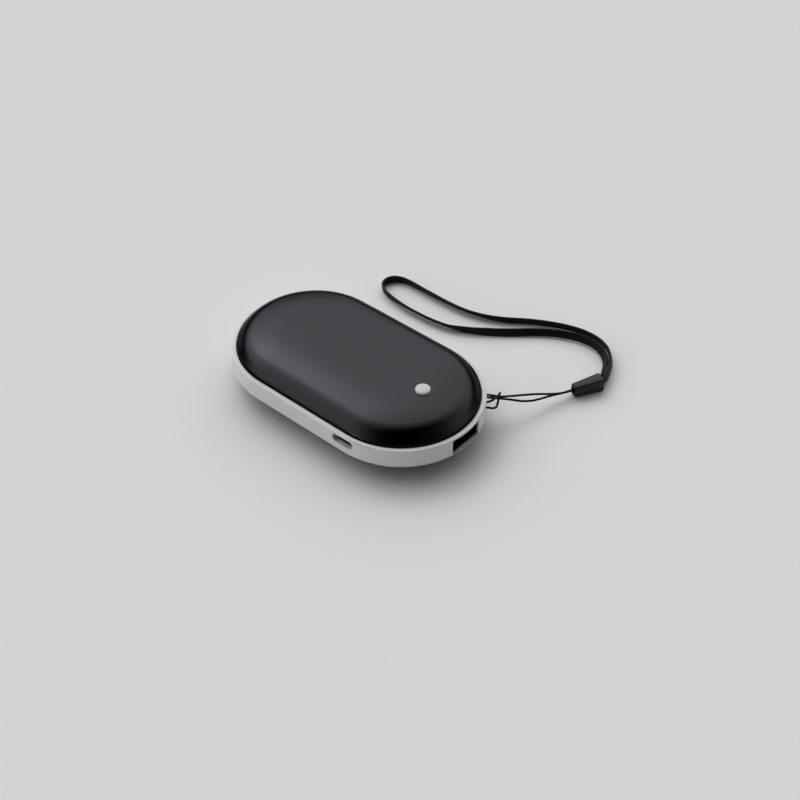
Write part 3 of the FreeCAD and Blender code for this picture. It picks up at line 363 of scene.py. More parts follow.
def moulded_white(name, colour, gloss, texture):
    """White engineering plastic with the fine grain of a spark-eroded mould."""
    finish = Finish(name, IOR=1.48)
    place = finish.place()
    grain = finish.noise(place, 4200.0, 2.0, 0.55)
    clouds = finish.noise(place, 60.0, 2.0)
    flow = finish.noise(finish.stretch(place, 1.0, 1.0, 6.0), 90.0, 3.0)
    finish.surface(
        Base_Color=finish.mix(clouds * 0.6 + flow * 0.4, tone(colour, 0.97), tone(colour, 1.02)),
        Roughness=gloss + grain * 0.10 + clouds * 0.04,
        Normal=finish.bump(grain, texture),
    )
    return finish.material


def moulded_dark(name, colour, gloss, texture, waves=3600.0):
    """Dark engineering plastic with a spark-eroded grain and slightly paler peaks."""
    finish = Finish(name, IOR=1.4)
    place = finish.place()
    grain = finish.noise(place, waves, 2.0, 0.6)
    clouds = finish.noise(place, 150.0, 2.0)
    finish.surface(
        Base_Color=finish.mix(grain * 0.7 + clouds * 0.3, tone(colour, 0.75), tone(colour, 1.3)),
        Roughness=gloss + grain * 0.12,
        Normal=finish.bump(grain, texture),
    )
    return finish.material


def rolled_metal(name, colour, gloss, lay, drawn=(1.0, 12.0, 12.0)):
    """Sheet metal with rolling marks along one way, and faint tarnish clouds."""
    finish = Finish(name, Metallic=1.0)
    place = finish.place()
    marks = finish.noise(finish.stretch(place, *drawn), lay, 3.0, 0.6)
    clouds = finish.noise(place, 240.0, 2.0)
    finish.surface(
        Base_Color=finish.mix(clouds, tone(colour, 0.86), tone(colour, 1.06)),
        Roughness=gloss + marks * 0.16 + clouds * 0.05,
        Normal=finish.bump(marks, 0.000006),
    )
    return finish.material


def solder_mask(name, colour):
    """Green lacquer over copper tracks, which stand up a little and show paler."""
    finish = Finish(name, IOR=1.52)
    place = finish.place()
    across = finish.axes(place)[1]
    weave = finish.noise(place, 2400.0, 1.0)
    pitch = 0.0011
    wander = finish.noise(place, 130.0, 1.0) * (2.0 * pitch)
    lanes = abs((((across + wander) / pitch) % 1.0) - 0.5)
    tracks = finish.ramp(lanes, 0.17, 0.23)
    panes = finish.ramp(finish.cells(place, 210.0, "DISTANCE_TO_EDGE"), 0.03, 0.05)
    finish.surface(
        Base_Color=finish.mix(tracks * panes, tone(colour, 1.5), colour),
        Roughness=0.26 + weave * 0.08,
        Normal=finish.bump(weave * 0.25 - tracks * panes, 0.00002),
    )
    return finish.material


def chip_resin(name, colour):
    """Filled epoxy: matt, dark, with a scatter of paler filler grains."""
    finish = Finish(name, IOR=1.5)
    place = finish.place()
    grain = finish.noise(place, 5000.0, 3.0, 0.7)
    filler = finish.ramp(finish.cells(place, 6500.0), 0.20, 0.10)
    finish.surface(
        Base_Color=finish.mix(filler * 0.5, colour, tone(colour, 3.0)),
        Roughness=0.55 + grain * 0.15,
        Normal=finish.bump(grain, 0.000015),
    )
    return finish.material


def wound_ferrite(name, core, copper, low, high):
    """A drum core of grey ferrite whose waist, between two levels, is wound with lacquered copper."""
    finish = Finish(name)
    place = finish.place()
    level = finish.axes(place)[2]
    grain = finish.noise(place, 3800.0, 3.0, 0.65)
    wound = (level > low) * (level < high)
    wire = 0.00022
    turns = abs((level * (math.pi / wire)).sine())
    finish.surface(
        # Painted shade: the copper is darkened to a third in the gaps between turns and is full on their
        # crowns.
        Base_Color=finish.mix(wound, core, finish.mix(turns, tone(copper, 0.35), copper)),
        Metallic=wound * 0.9,
        Roughness=0.62 - wound * 0.34 + grain * 0.1,
        Normal=finish.bump(grain * (1.0 - wound) * 0.3 + turns * wound, 0.00004),
    )
    return finish.material


def cell_laminate(name, colour):
    """Aluminium laminate of a pouch cell: satin, softly crumpled, with a fine embossed grain."""
    finish = Finish(name, Metallic=0.75)
    place = finish.place()
    crumple = finish.noise(place, 85.0, 4.0, 0.6)
    grain = finish.noise(place, 2600.0, 1.0)
    finish.surface(
        Base_Color=finish.mix(crumple, tone(colour, 0.85), tone(colour, 1.08)),
        Roughness=0.34 + crumple * 0.14,
        Normal=finish.bump(grain, 0.000008, finish.bump(crumple, 0.0004)),
    )
    return finish.material


def heater_film(name, film, trace):
    """Amber polyimide with a resistive track that runs to and fro under it."""
    finish = Finish(name, IOR=1.6)
    place = finish.place()
    along, across = finish.axes(place)[:2]
    pitch, reach = 0.0024, 0.026
    lanes = abs(((across / pitch) % 1.0) - 0.5)
    track = finish.ramp(lanes, 0.14, 0.20) * (abs(along) < reach)
    haze = finish.noise(place, 300.0, 3.0)
    finish.surface(
        Base_Color=finish.mix(track, finish.mix(haze, tone(film, 0.85), tone(film, 1.1)), trace),
        Roughness=0.22 + haze * 0.12,
        Normal=finish.bump(track, 0.00003),
    )
    return finish.material


def open_foam(name, colour):
    """Soft open foam: small round cells in painted shade, with thin walls between them in painted light.
    """
    finish = Finish(name)
    place = finish.place()
    walls = finish.ramp(finish.cells(place, 1400.0, "DISTANCE_TO_EDGE"), 0.22, 0.03)
    clouds = finish.noise(place, 180.0, 2.0)
    finish.surface(
        # The one foam colour is painted darker in the cells and paler on the walls, as shade and
        # highlight.
        Base_Color=finish.mix(walls * 0.7 + clouds * 0.3, tone(colour, 0.6), tone(colour, 1.5)),
        Roughness=0.85 + clouds * 0.1,
        Normal=finish.bump(walls, 0.0002),
    )
    return finish.material


def insulation(name, colour):
    """Silicone wire insulation: smooth, with soft bloom and the faint print of its strands."""
    finish = Finish(name, IOR=1.42)
    place = finish.place()
    bloom = finish.noise(place, 420.0, 3.0)
    strands = finish.noise(finish.stretch(place, 3.0, 3.0, 1.0), 900.0, 1.0)
    finish.surface(
        Base_Color=finish.mix(bloom, tone(colour, 0.88), tone(colour, 1.1)),
        Roughness=0.38 + bloom * 0.14,
        Normal=finish.bump(strands, 0.00003),
    )
    return finish.material


def lamp_resin(name, colour):
    """Clear tinted resin over a small lamp die, which shows as a darker middle."""
    finish = Finish(name, IOR=1.53)
    place = finish.place()
    die = finish.ramp(finish.cells(place, 900.0), 0.25, 0.45)
    haze = finish.noise(place, 1800.0, 2.0)
    finish.surface(
        Base_Color=finish.mix(die, tone(colour, 0.55), colour),
        Roughness=0.16 + haze * 0.1,
    )
    return finish.material


def braided_cord(name, colour, girth):
    """Polyester braid round a core: two sets of strands that cross over each other."""
    finish = Finish(name, Sheen_Weight=0.03, Sheen_Roughness=0.4, Specular_IOR_Level=0.2)
    lay = finish.node("ShaderNodeUVMap", {"uv_map": "lay"})
    along, around = finish.axes(lay)[:2]
    pitch, strands = 0.0011, 4.0
    twist = along * (math.tau / pitch)
    turn = around * (math.tau * strands / girth)
    right = (twist + turn).sine()
    left = (twist - turn).sine()
    over = (right * left) * 0.5 + 0.5
    fibres = finish.noise(finish.place(), 6500.0, 2.0, 0.6)
    finish.surface(
        # Painted shade and highlight: the yarn's colour is darker where the strands dip and paler where
        # they rise.
        Base_Color=finish.mix(over * 0.7 + fibres * 0.3, tone(colour, 0.45), tone(colour, 1.5)),
        Roughness=0.50 + fibres * 0.14,
        Normal=finish.bump(fibres, 0.00001, finish.bump(over, 0.00006)),
    )
    return finish.material


def woven_band(name, colour):
    """Nylon tape: rounded warp columns whose weft ribs step by half from one column to the next."""
    finish = Finish(name, Sheen_Weight=0.02, Sheen_Roughness=0.35, Specular_IOR_Level=0.16)
    lay = finish.node("ShaderNodeUVMap", {"uv_map": "lay"})
    along, around = finish.axes(lay)[:2]
    column_width, rib_pitch = 0.0004, 0.0008
    column = around / column_width
    step = (column.floor() % 2.0) * math.pi
    crown = abs((column * math.pi).sine())
    rib = (along * (math.tau / rib_pitch) + step).sine() * 0.5 + 0.5
    weave_relief_and_shade = crown * (0.45 + rib * 0.55)
    fibres = finish.noise(finish.stretch(lay, 1.0, 5.0, 1.0), 2600.0, 3.0, 0.65)
    wear = finish.noise(finish.place(), 90.0, 3.0)
    finish.surface(
        # Painted shade and highlight: the yarn is darker in the weave's grooves and paler on its crowns.
        Base_Color=finish.mix(weave_relief_and_shade * 0.6 + fibres * 0.4, tone(colour, 0.5), tone(colour, 1.6)),
        Roughness=0.46 + fibres * 0.12 + wear * 0.08,
        Normal=finish.bump(fibres, 0.000008, finish.bump(weave_relief_and_shade, 0.00005)),
    )
    return finish.material


def studio_paper(name, colour):
    """Matt pale paper with faint mottling."""
    finish = Finish(name, Specular_IOR_Level=0.25)
    place = finish.place()
    mottle = finish.noise(place, 6.0, 3.0)
    tooth = finish.noise(place, 1500.0, 2.0)
    finish.surface(
        Base_Color=finish.mix(mottle, tone(colour, 0.985), tone(colour, 1.01)),
        Roughness=0.75 + tooth * 0.1,
    )
    return finish.material


def dress(material, *nodes):
    """Gives solids of the frame one finish."""
    for name in nodes:
        mesh = frame["nodes"][name].data
        mesh.materials.clear()
        mesh.materials.append(material)


def place_piece(name, mesh, material, body, slot, *nodes):
    """Puts a finished mesh in the scene as a piece that rides on a body and stands for CAD nodes."""
    mesh.materials.append(material)
    piece = bpy.data.objects.new(name, mesh)
    bpy.context.scene.collection.objects.link(piece)
    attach(piece, body)
    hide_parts(*nodes)
    return piece


def lofted(name, loops, crease, lay=None):
    """A closed skin through loops of points, with a face over each end; lay gives each corner's UV."""
    count = len(loops[0])
    points = [tuple(point) for loop in loops for point in loop]
    faces = []
    for row in range(len(loops) - 1):
        for side in range(count):
            after = (side + 1) % count
            faces.append((row * count + side, row * count + after,
                          (row + 1) * count + after, (row + 1) * count + side))
    faces.append(tuple(reversed(range(count))))
    faces.append(tuple(range(len(points) - count, len(points))))
    mesh = bpy.data.meshes.new(name)
    mesh.from_pydata(points, [], faces)
    if lay:
        layer = mesh.uv_layers.new(name="lay")
        for face in mesh.polygons:
            wraps = len(face.vertices) == 4 and {v % count for v in face.vertices} == {0, count - 1}
            for corner in face.loop_indices:
                row, side = divmod(mesh.loops[corner].vertex_index, count)
                layer.data[corner].uv = lay(row, side + (count if wraps and side == 0 else 0))
    mesh.shade_smooth()
    mesh.set_sharp_from_angle(angle=math.radians(crease))
    mesh.validate()
    return mesh


def turned(name, centre, profile, turns, crease):
    """A closed skin made by turning a profile, of reaches and levels, about an upright axis."""
    angles = [math.tau * turn / turns for turn in range(turns)]
    ways = [(math.cos(angle), math.sin(angle)) for angle in angles]
    loops = []
    for reach, level in profile:
        loops.append([Vector((centre.x + reach * x, centre.y + reach * y, level)) for x, y in ways])
    return lofted(name, loops, crease)


def rounded_outline(half_width, half_height, corner, steps=5):
    """Points round a rectangle with round corners, from its right side upward."""
    outline = []
    for turn in range(4):
        middle_x = (half_width - corner) * (1 if turn in (0, 3) else -1)
        middle_y = (half_height - corner) * (1 if turn in (0, 1) else -1)
        for step in range(steps + 1):
            angle = math.radians(90.0 * (turn + step / steps))
            point = (middle_x + corner * math.cos(angle), middle_y + corner * math.sin(angle))
            if not any(math.dist(point, end) < 1e-9 for end in outline[:1] + outline[-1:]):
                outline.append(point)
    return outline


def route_line(name, route, resolution):
    """Points along the smooth spline that has the route's points as its control points."""
    curve = bpy.data.curves.new(name, "CURVE")
    curve.dimensions = "3D"
    curve.resolution_u = resolution
    spline = curve.splines.new("NURBS")
    spline.points.add(len(route) - 1)
    for point, place in zip(spline.points, route):
        point.co = (*place, 1.0)
    spline.order_u = 3
    spline.use_endpoint_u = True
    holder = bpy.data.objects.new(name, curve)
    bpy.context.scene.collection.objects.link(holder)
    mesh = bpy.data.meshes.new_from_object(holder.evaluated_get(bpy.context.evaluated_depsgraph_get()))
    line = [vertex.co.copy() for vertex in mesh.vertices]
    bpy.data.meshes.remove(mesh)
    bpy.data.objects.remove(holder)
    bpy.data.curves.remove(curve)
    return line


def distances(line):
    """How far along the line each of its points is."""
    passed = [0.0]
    for before, after in zip(line, line[1:]):
        passed.append(passed[-1] + (after - before).length)
    return passed


def directions(line):
    """The way that the line runs at each of its points."""
    last = len(line) - 1
    return [(line[min(i + 1, last)] - line[max(i - 1, 0)]).normalized() for i in range(len(line))]


def swept(name, line, outline, lean, crease):
    """An outline carried along a line with its second axis upright, turned by lean(share) degrees."""
    passed = distances(line)
    loops = []
    for point, along, gone in zip(line, directions(line), passed):
        aside = UP.cross(along).normalized()
        rise = along.cross(aside)
        turn = math.radians(lean(gone / passed[-1]))
        tall = rise * math.cos(turn) + aside * math.sin(turn)
        wide = aside * math.cos(turn) - rise * math.sin(turn)
        loops.append([point + wide * x + tall * y for x, y in outline])
    around = distances([Vector((*p, 0.0)) for p in outline + outline[:1]])
    return lofted(name, loops, crease, lambda row, side: (passed[row], around[side]))


def between(table, share):
    """The value at a share, eased between the rows of a table."""
    for (low, first), (high, second) in zip(table, table[1:]):
        if share <= high:
            step = (share - low) / (high - low)
            step = step * step * (3.0 - 2.0 * step)
            return first + (second - first) * step
    return table[-1][1]


def heading(turn, height):
    """The direction at an angle round the object and an angle above the horizon."""
    return (math.cos(height) * math.cos(turn), math.cos(height) * math.sin(turn), math.sin(height))


def length_property(label, description, default):
    """A size in metres."""
    return bpy.props.FloatProperty(name=label, description=description, default=default, unit="LENGTH",
                                   precision=5)


def colour_property(label, description, default):
    """A colour, in linear light."""
    return bpy.props.FloatVectorProperty(name=label, description=description, default=default, size=4,
                                         subtype="COLOR", min=0.0, max=1.0)


def share_property(label, description, default):
    """A plain number."""
    return bpy.props.FloatProperty(name=label, description=description, default=default, precision=3)


def angle_property(label, description, degrees):
    """An angle that is given in degrees."""
    return bpy.props.FloatProperty(name=label, description=description, default=math.radians(degrees),
                                   subtype="ANGLE")


class WarmerColours(bpy.types.PropertyGroup):
    """Colours of what shows from outside."""

    shell: colour_property("Shell", "Dye of the two anodised shells", (0.0285, 0.0300, 0.0318, 1.0))
    # The frame's colour is its pale plastic with a slight blue cast, which is painted cool shade from
    # the fill light.
    frame: colour_property("Frame", "Plastic of the frame between the shells", (0.72, 0.74, 0.755, 1.0))
    button: colour_property("Button", "Plastic of the power button", (0.56, 0.57, 0.585, 1.0))
    clip: colour_property("Clip", "Plastic of the strap's clip", (0.0040, 0.0042, 0.0046, 1.0))
    strap: colour_property("Strap", "Yarn of the cord and the webbing", (0.0016, 0.0018, 0.0021, 1.0))
    floor: colour_property("Floor", "Paper under the object", (0.81, 0.81, 0.81, 1.0))


class WarmerButton(bpy.types.PropertyGroup):
    """Sizes of the push button."""

    radius: length_property("Cap radius", "Radius of the cap that stands out of the shell", 0.0027)
    crown: length_property("Crown", "How far the cap's middle rises above its edge", 0.00025)
    shoulder: length_property("Shoulder", "How far the round between wall and crown reaches", 0.0006)
    flange: length_property("Flange", "Thickness of the flange under the shell", 0.00075)
    flange_drop: length_property("Flange drop", "From the top of the cap down to the flange", 0.0022)
    post_radius: length_property("Post radius", "Radius of the post over the switch", 0.0015)


class WarmerStrap(bpy.types.PropertyGroup):
    """Sizes of the strap and its clip."""

    cord: length_property("Cord diameter", "Diameter of the braided cord", 0.0008)
    webbing_width: length_property("Webbing width", "Width of the woven band", 0.0030)
    webbing_thickness: length_property("Webbing thickness", "Thickness of the woven band", 0.0010)
    clip_length: length_property("Clip length", "Length of the clip", 0.0112)
    tail_width: length_property("Tail width", "Width of the clip where the cord enters", 0.0032)
    tail_height: length_property("Tail height", "Height of the clip where the cord enters", 0.0044)
    head_width: length_property("Head width", "Width of the clip where the webbing enters", 0.0047)
    head_height: length_property("Head height", "Height of the clip where the webbing enters", 0.0053)
    corner: length_property("Corner", "Radius of the clip's long edges", 0.0007)
    rim: length_property("Rim", "Radius of the clip's end edges", 0.0003)


class WarmerStage(bpy.types.PropertyGroup):
    """Camera and light."""

    lens: bpy.props.FloatProperty(name="Lens", description="Focal length", default=64.02, unit="CAMERA")
    light_heading: angle_property("Light heading", "Way to the softbox, from +X towards +Y", 161.0)
    light_height: angle_property("Light height", "Height of the softbox above the horizon", 47.2)
    light: share_property("Light", "Brightness in the middle of the softbox", 2.27)
    ceiling: share_property("Ceiling", "Brightness of the ceiling round the softbox", 2.10)
    screen_heading: angle_property("Screen heading", "Way to the dark screen behind the camera", 331.9)
    screen_height: angle_property("Screen height", "Height of that screen above the horizon", 46.1)
    horizon: share_property("Horizon", "Share of the light that is left at the horizon", 0.03)
    cards: share_property("Cards", "Brightness of the low white cards", 1.0)
    wall: share_property("Wall", "Brightness of the foot of the walls round the floor", 0.62)


class WARMER_OT_case(bpy.types.Operator):
    """Finishes the shells, the frame between them and their seals"""

    bl_idname = "warmer.case"
    bl_label = "Case"

    def execute(self, context):
        colours = context.scene.warmer_colours
        low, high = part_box("mid_frame")
        # The shells' colour is darkened near the frame's faces as painted shade.
        dress(blasted_anodising(colours.shell, (low.z + high.z) / 2.0, (high.z - low.z) / 2.0),
              "upper_shell", "lower_shell")
        dress(moulded_white("frame_plastic", colours.frame, 0.40, 0.000008), "mid_frame")
        dress(moulded_dark("seal_tape", (0.02, 0.02, 0.02), 0.6, 0.00003), "upper_seal", "lower_seal")
        return {"FINISHED"}


class WARMER_OT_button(bpy.types.Operator):
    """Makes the button and the snap dome under it, at rest, and finishes their switch"""

    bl_idname = "warmer.button"
    bl_label = "Button"

    def execute(self, context):
        dress(moulded_dark("switch_housing", (0.016, 0.016, 0.017), 0.45, 0.00001), "switch_body")
        dress(moulded_dark("stem_plastic", (0.30, 0.30, 0.30), 0.4, 0.00001), "switch_stem")
        self.make_button(context.scene.warmer_button, context.scene.warmer_colours)
        self.make_dome()
        return {"FINISHED"}

    def make_button(self, sizes, colours):
        """A post, a flange that keeps the button under the shell, and a cap with a round shoulder."""
        low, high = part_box("power_button")
        flange_radius = (high.x - low.x) / 2.0
        flange_top = high.z - sizes.flange_drop
        flange_bottom = flange_top - sizes.flange
        ball = (sizes.radius ** 2 + sizes.crown ** 2) / (2.0 * sizes.crown)

        def crown(reach):
            return Vector((reach, high.z - ball + math.sqrt(ball ** 2 - reach ** 2)))

        profile = [
            (sizes.post_radius, low.z),
            (sizes.post_radius, flange_bottom),
            (flange_radius, flange_bottom),
            (flange_radius, flange_top),
            (sizes.radius, flange_top),
        ]
        corner = crown(sizes.radius)
        wall_end = corner - Vector((0.0, sizes.shoulder))
        crown_start = crown(sizes.radius - sizes.shoulder)
        steps = 10
        for step in range(steps + 1):
            share = step / steps
            profile.append(wall_end.lerp(corner, share).lerp(corner.lerp(crown_start, share), share))
        for step in range(1, steps):
            profile.append(crown(crown_start.x * (1.0 - step / steps)))
        place_piece("button_cap", turned("button_cap", (low + high) / 2.0, profile, 64, 40.0),
                    moulded_white("button_plastic", colours.button, 0.26, 0.000003),
                    "button", "white_button", "power_button")

    def make_dome(self):
        """The thin steel dome in the switch, in its rest shape, before the button presses it flat."""
        steel = rolled_metal("dome_steel", (0.62, 0.61, 0.58), 0.18, 2500.0)
        low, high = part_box("switch_dome")
        middle = (low + high) / 2.0
        radius = (high.x - low.x) / 2.0
        crown = high.z - low.z
        gauge = 0.2 * crown
        tip = radius * 0.02
        shell = [(radius, 0.0)]
        rings = 10
        for ring in range(1, rings):
            share = 1.0 - ring / rings
            shell.append((radius * share, crown * (1.0 - share * share)))
        under = [(max(0.0, reach - gauge), max(0.0, rise - gauge)) for reach, rise in shell]
        section = shell + [(tip, crown), (tip, crown - gauge)] + under[::-1][:-1]
        profile = [(reach, low.z + rise) for reach, rise in section]
        mesh = turned("snap_dome", middle, profile, 40, 40.0)
        dome = place_piece("snap_dome", mesh, steel, "case", "dome_steel", "switch_dome")
        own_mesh(dome)


class WARMER_OT_sockets(bpy.types.Operator):
    """Finishes the outlet and the charging inlet"""

    bl_idname = "warmer.sockets"
    bl_label = "Sockets"

    def execute(self, context):
        dress(rolled_metal("socket_steel", (0.035, 0.035, 0.037), 0.30, 1600.0), "outlet_shell",
              "inlet_shell")
        dress(moulded_dark("socket_insert", (0.030, 0.030, 0.031), 0.42, 0.00001), "outlet_insert",
              "inlet_insert")
        dress(rolled_metal("contact_gold", (0.80, 0.58, 0.27), 0.16, 3000.0), "outlet_contacts",
              "inlet_pins")
        return {"FINISHED"}


class WARMER_OT_electronics(bpy.types.Operator):
    """Finishes the circuit board and what is mounted on it"""

    bl_idname = "warmer.electronics"
    bl_label = "Electronics"

    def execute(self, context):
        dress(solder_mask("solder_mask", (0.012, 0.085, 0.035, 1.0)), "circuit_board", "guard_board")
        dress(rolled_metal("screw_steel", (0.56, 0.56, 0.57), 0.26, 2200.0, (8.0, 8.0, 1.0)),
              "board_screws")
        dress(chip_resin("chip_resin", (0.012, 0.012, 0.013, 1.0)), "control_chips")
        dress(lamp_resin("lamp_resin", (0.72, 0.74, 0.66, 1.0)), "status_lamps")
        low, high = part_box("converter_coil")
        flange = 0.2 * (high.z - low.z)
        dress(wound_ferrite("wound_ferrite", (0.045, 0.045, 0.047, 1.0), (0.62, 0.26, 0.10, 1.0),
                            low.z + flange, high.z - flange), "converter_coil")
        return {"FINISHED"}


class WARMER_OT_heating(bpy.types.Operator):
    """Finishes the cell, the heaters and their leads, and makes the foam pads between them"""

    bl_idname = "warmer.heating"
    bl_label = "Cell and heaters"

    def execute(self, context):
        dress(cell_laminate("cell_laminate", (0.62, 0.62, 0.61, 1.0)), "battery_cell")
        dress(heater_film("heater_film", (0.50, 0.21, 0.035, 1.0), (0.16, 0.065, 0.020, 1.0)),
              "upper_heater", "lower_heater")
        dress(insulation("red_insulation", (0.42, 0.016, 0.012)), "red_battery_lead")
        dress(insulation("black_insulation", (0.014, 0.014, 0.014)), "black_battery_lead")
        dress(insulation("white_insulation", (0.70, 0.69, 0.66)), "upper_heater_leads",
              "lower_heater_leads")
        foam = open_foam("foam_pad", (0.055, 0.055, 0.058, 1.0))
        for node in ("upper_foam", "lower_foam"):
            low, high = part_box(node)
            middle = (low + high) / 2.0
            half = (high - low) / 2.0
            rounding = half.z * 0.5
            bulge = 0.16 * half.z
            levels = 12
            loops = []
            for level in range(levels + 1):
                angle = math.pi * (level / levels - 0.5)
                inset = rounding * (1.0 - math.cos(angle)) + bulge * math.sin(angle) ** 2
                outline = rounded_outline(half.x - inset, half.y - inset, half.y - inset, 16)
                loops.append([Vector((middle.x + x, middle.y + y, middle.z + half.z * math.sin(angle)))
                              for x, y in outline])
            mesh = lofted(node + "_pad", loops, 60.0)
            pad = place_piece(node + "_pad", mesh, foam, "case", "foam_pad", node)
        return {"FINISHED"}


class WARMER_OT_strap(bpy.types.Operator):
    """Makes the strap: the clip, the braided cord to the frame's eye and the loop of webbing"""

    bl_idname = "warmer.strap"
    bl_label = "Strap"

    def execute(self, context):
        sizes = context.scene.warmer_strap
        colours = context.scene.warmer_colours
        clip = self.make_clip(sizes, colours)
        self.make_cord(sizes, colours, clip)
        self.make_webbing(sizes, colours, clip)
        return {"FINISHED"}

    def make_clip(self, sizes, colours):
        """A moulded clip with a socket for the cord in its tail and one for the webbing in its head."""
        start, mouth = (Vector(point) for point in CORD_ROUTE[:2])
        along = Vector((start.x - mouth.x, start.y - mouth.y, 0.0)).normalized()
        across = UP.cross(along)
        low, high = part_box("strap_clip")
        middle = (low + high) / 2.0
        tail = middle - along * sizes.clip_length / 2.0
        lip = 0.00012
        bore_corner = 0.00015
        cord_depth, webbing_depth = 0.0014, 0.0020
        cord_half = (0.00115, 0.00105)
        webbing_half = (0.00145, 0.00165)

        def loop(reach, half_width, half_height, corner):
            return [tail + along * reach + across * x + UP * y
                    for x, y in rounded_outline(half_width, half_height, corner)]

        def body(reach, inset):
            share = reach / sizes.clip_length
            width = sizes.tail_width + (sizes.head_width - sizes.tail_width) * share
            height = sizes.tail_height + (sizes.head_height - sizes.tail_height) * share
            return loop(reach, width / 2.0 - inset, height / 2.0 - inset, sizes.corner - inset * 0.5)

        loops = [loop(cord_depth, *cord_half, bore_corner), loop(lip, *cord_half, bore_corner),
                 loop(0.0, cord_half[0] + lip, cord_half[1] + lip, bore_corner)]
        turns = [math.radians(angle) for angle in (0.0, 22.5, 45.0, 67.5, 90.0)]
        for turn in turns:
            loops.append(body(sizes.rim * (1.0 - math.cos(turn)), sizes.rim * (1.0 - math.sin(turn))))
        stations = 8
        for station in range(1, stations):
            loops.append(body(sizes.clip_length * station / stations, 0.0))
        for turn in reversed(turns):
            loops.append(body(sizes.clip_length - sizes.rim * (1.0 - math.cos(turn)),
                              sizes.rim * (1.0 - math.sin(turn))))
        loops += [loop(sizes.clip_length, webbing_half[0] + lip, webbing_half[1] + lip, bore_corner),
                  loop(sizes.clip_length - lip, *webbing_half, bore_corner),
                  loop(sizes.clip_length - webbing_depth, *webbing_half, bore_corner)]
        return place_piece("clip_moulding", lofted("clip_moulding", loops, 42.0),
                           moulded_dark("clip_plastic", colours.clip, 0.42, 0.00002, 2600.0),
                           "case", "clip_plastic", "strap_clip")

    def make_cord(self, sizes, colours, clip):
        """The thin braided cord, doubled through the eye as a lark's head."""
        line = route_line("cord_route", CORD_ROUTE, 10)
        radius = sizes.cord / 2.0
        outline = rounded_outline(radius, radius, radius, 3)
        cord = place_piece("braided_cord", swept("braided_cord", line, outline, lambda share: 0.0, 60.0),
                           braided_cord("braided_cord", colours.strap, math.pi * sizes.cord),
                           "case", "strap_cord", "strap_cord")

    def make_webbing(self, sizes, colours, clip):
        """The woven band, on edge, leaning this way and that along its loop."""
        line = route_line("webbing_route", WEBBING_ROUTE, 16)
        outline = rounded_outline(sizes.webbing_thickness / 2.0, sizes.webbing_width / 2.0,
                                  sizes.webbing_thickness * 0.36, 4)
        band = place_piece("woven_band", swept("woven_band", line, outline,
                                               lambda share: between(WEBBING_LEAN, share), 70.0),
                           woven_band("woven_band", colours.strap), "case", "strap_webbing",
                           "strap_webbing")


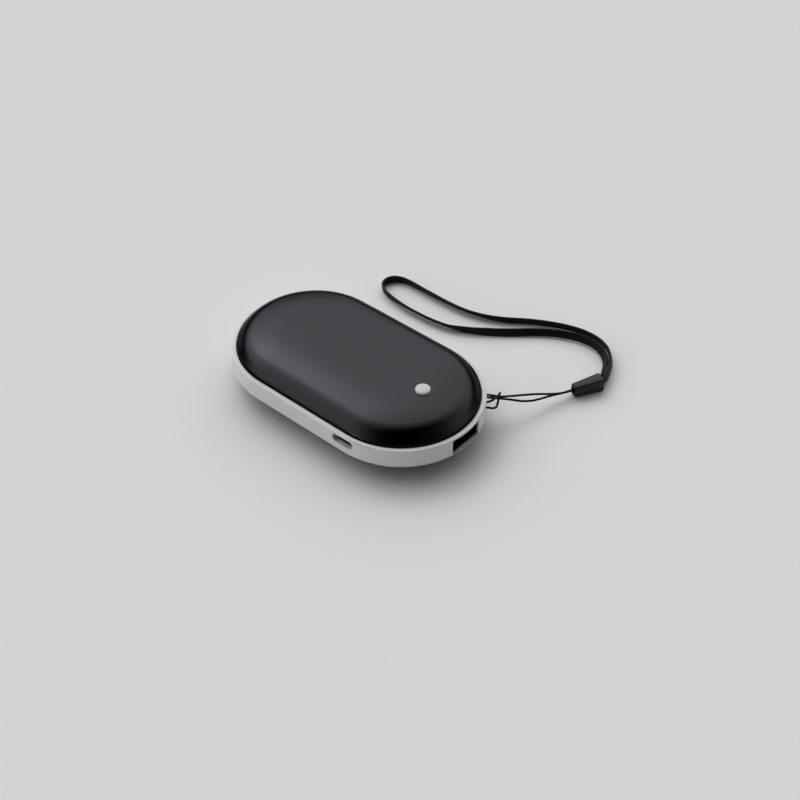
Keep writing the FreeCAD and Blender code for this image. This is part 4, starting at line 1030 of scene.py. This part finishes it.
class WARMER_OT_stage(bpy.types.Operator):
    """Lays the floor, and sets the camera and the studio light"""

    bl_idname = "warmer.stage"
    bl_label = "Stage"

    def execute(self, context):
        settings = context.scene.warmer_stage
        self.lay_floor(context.scene.warmer_colours.floor)
        self.set_camera(settings)
        context.scene.world = self.hang_lights(settings)
        context.scene.view_settings.view_transform = "Standard"
        return {"FINISHED"}

    def lay_floor(self, colour):
        """A wide sheet of paper just under the object."""
        mesh = bpy.data.meshes.new("paper_floor")
        reach, sides = 6.0, 8
        steps = range(sides + 1)
        points = [(reach * (2.0 * x / sides - 1.0), reach * (2.0 * y / sides - 1.0), 0.0)
                  for y in steps for x in steps]
        faces = [(y * (sides + 1) + x, y * (sides + 1) + x + 1,
                  (y + 1) * (sides + 1) + x + 1, (y + 1) * (sides + 1) + x)
                 for y in range(sides) for x in range(sides)]
        mesh.from_pydata(points, [], faces)
        mesh.materials.append(studio_paper("studio_paper", colour))
        floor = bpy.data.objects.new("paper_floor", mesh)
        bpy.context.scene.collection.objects.link(floor)

    def set_camera(self, settings):
        """The camera at the place that the photograph was taken from."""
        lens = bpy.data.cameras.new("camera")
        lens.lens = settings.lens
        lens.sensor_width = 36.0
        lens.clip_start = 0.01
        camera = bpy.data.objects.new("camera", lens)
        right = Vector(CAMERA_RIGHT).normalized()
        back = Vector(CAMERA_BACK).normalized()
        up = back.cross(right).normalized()
        turn = Matrix((right, up, back)).transposed().to_4x4()
        camera.matrix_world = Matrix.Translation(CAMERA_PLACE) @ turn
        bpy.context.scene.collection.objects.link(camera)
        bpy.context.scene.camera = camera

    def hang_lights(self, settings):
        """A softbox under a pale ceiling, low cards, a dark screen and the pale foot of the walls."""
        world = bpy.data.worlds.new("studio")
        world.use_nodes = True
        room = Nodes(world.node_tree, "Background")
        way = room.node("ShaderNodeTexCoord", output="Generated")
        level = room.axes(way)[2]

        def lobe(turn, rise, spread):
            return ((room.dot(way, heading(turn, rise)) - 1.0) / spread).power_of_e()

        middle = (settings.light_heading, settings.light_height)
        softbox = lobe(*middle, SOFTBOX_SPREAD) * settings.light
        ceiling = lobe(*middle, CEILING_SPREAD) * settings.ceiling
        rise = settings.horizon + room.ramp(level, *HORIZON_FADE) * (1.0 - settings.horizon)
        near_screen = room.dot(way, heading(settings.screen_heading, settings.screen_height))
        above = (softbox + ceiling) * rise * room.ramp(near_screen, *SCREEN_FADE)
        for turn, height, spread, strength in LOW_CARDS:
            card = lobe(math.radians(turn), math.radians(height), spread)
            above = above + card * (strength * settings.cards)
        wall = room.ramp(level, *WALL_FADE) * settings.wall
        room.surface(Strength=above + wall, Color=(1.0, 1.0, 1.0, 1.0))
        return world


PIECES = (WARMER_OT_case, WARMER_OT_button, WARMER_OT_sockets, WARMER_OT_electronics, WARMER_OT_heating,
          WARMER_OT_strap, WARMER_OT_stage)


class WARMER_PT_panel(bpy.types.Panel):
    """Lists the pieces that can be made"""

    bl_idname = "WARMER_PT_panel"
    bl_label = "Hand warmer"
    bl_space_type = "VIEW_3D"
    bl_region_type = "UI"
    bl_category = "Hand warmer"

    def draw(self, context):
        for piece in PIECES:
            self.layout.operator(piece.bl_idname)


GROUPS = {"warmer_colours": WarmerColours, "warmer_button": WarmerButton, "warmer_strap": WarmerStrap,
          "warmer_stage": WarmerStage}


def register():
    """Adds the classes and the settings that they read."""
    for cls in (*GROUPS.values(), *PIECES, WARMER_PT_panel):
        bpy.utils.register_class(cls)
    for name, group in GROUPS.items():
        setattr(bpy.types.Scene, name, bpy.props.PointerProperty(type=group))


def unregister():
    """Takes the settings and the classes away."""
    for name in GROUPS:
        delattr(bpy.types.Scene, name)
    for cls in reversed((*GROUPS.values(), *PIECES, WARMER_PT_panel)):
        bpy.utils.unregister_class(cls)


def main():
    """Makes every piece and the stage."""
    register()
    for piece in PIECES:
        group, name = piece.bl_idname.split(".")
        getattr(getattr(bpy.ops, group), name)()


if __name__ == "__main__":
    main()
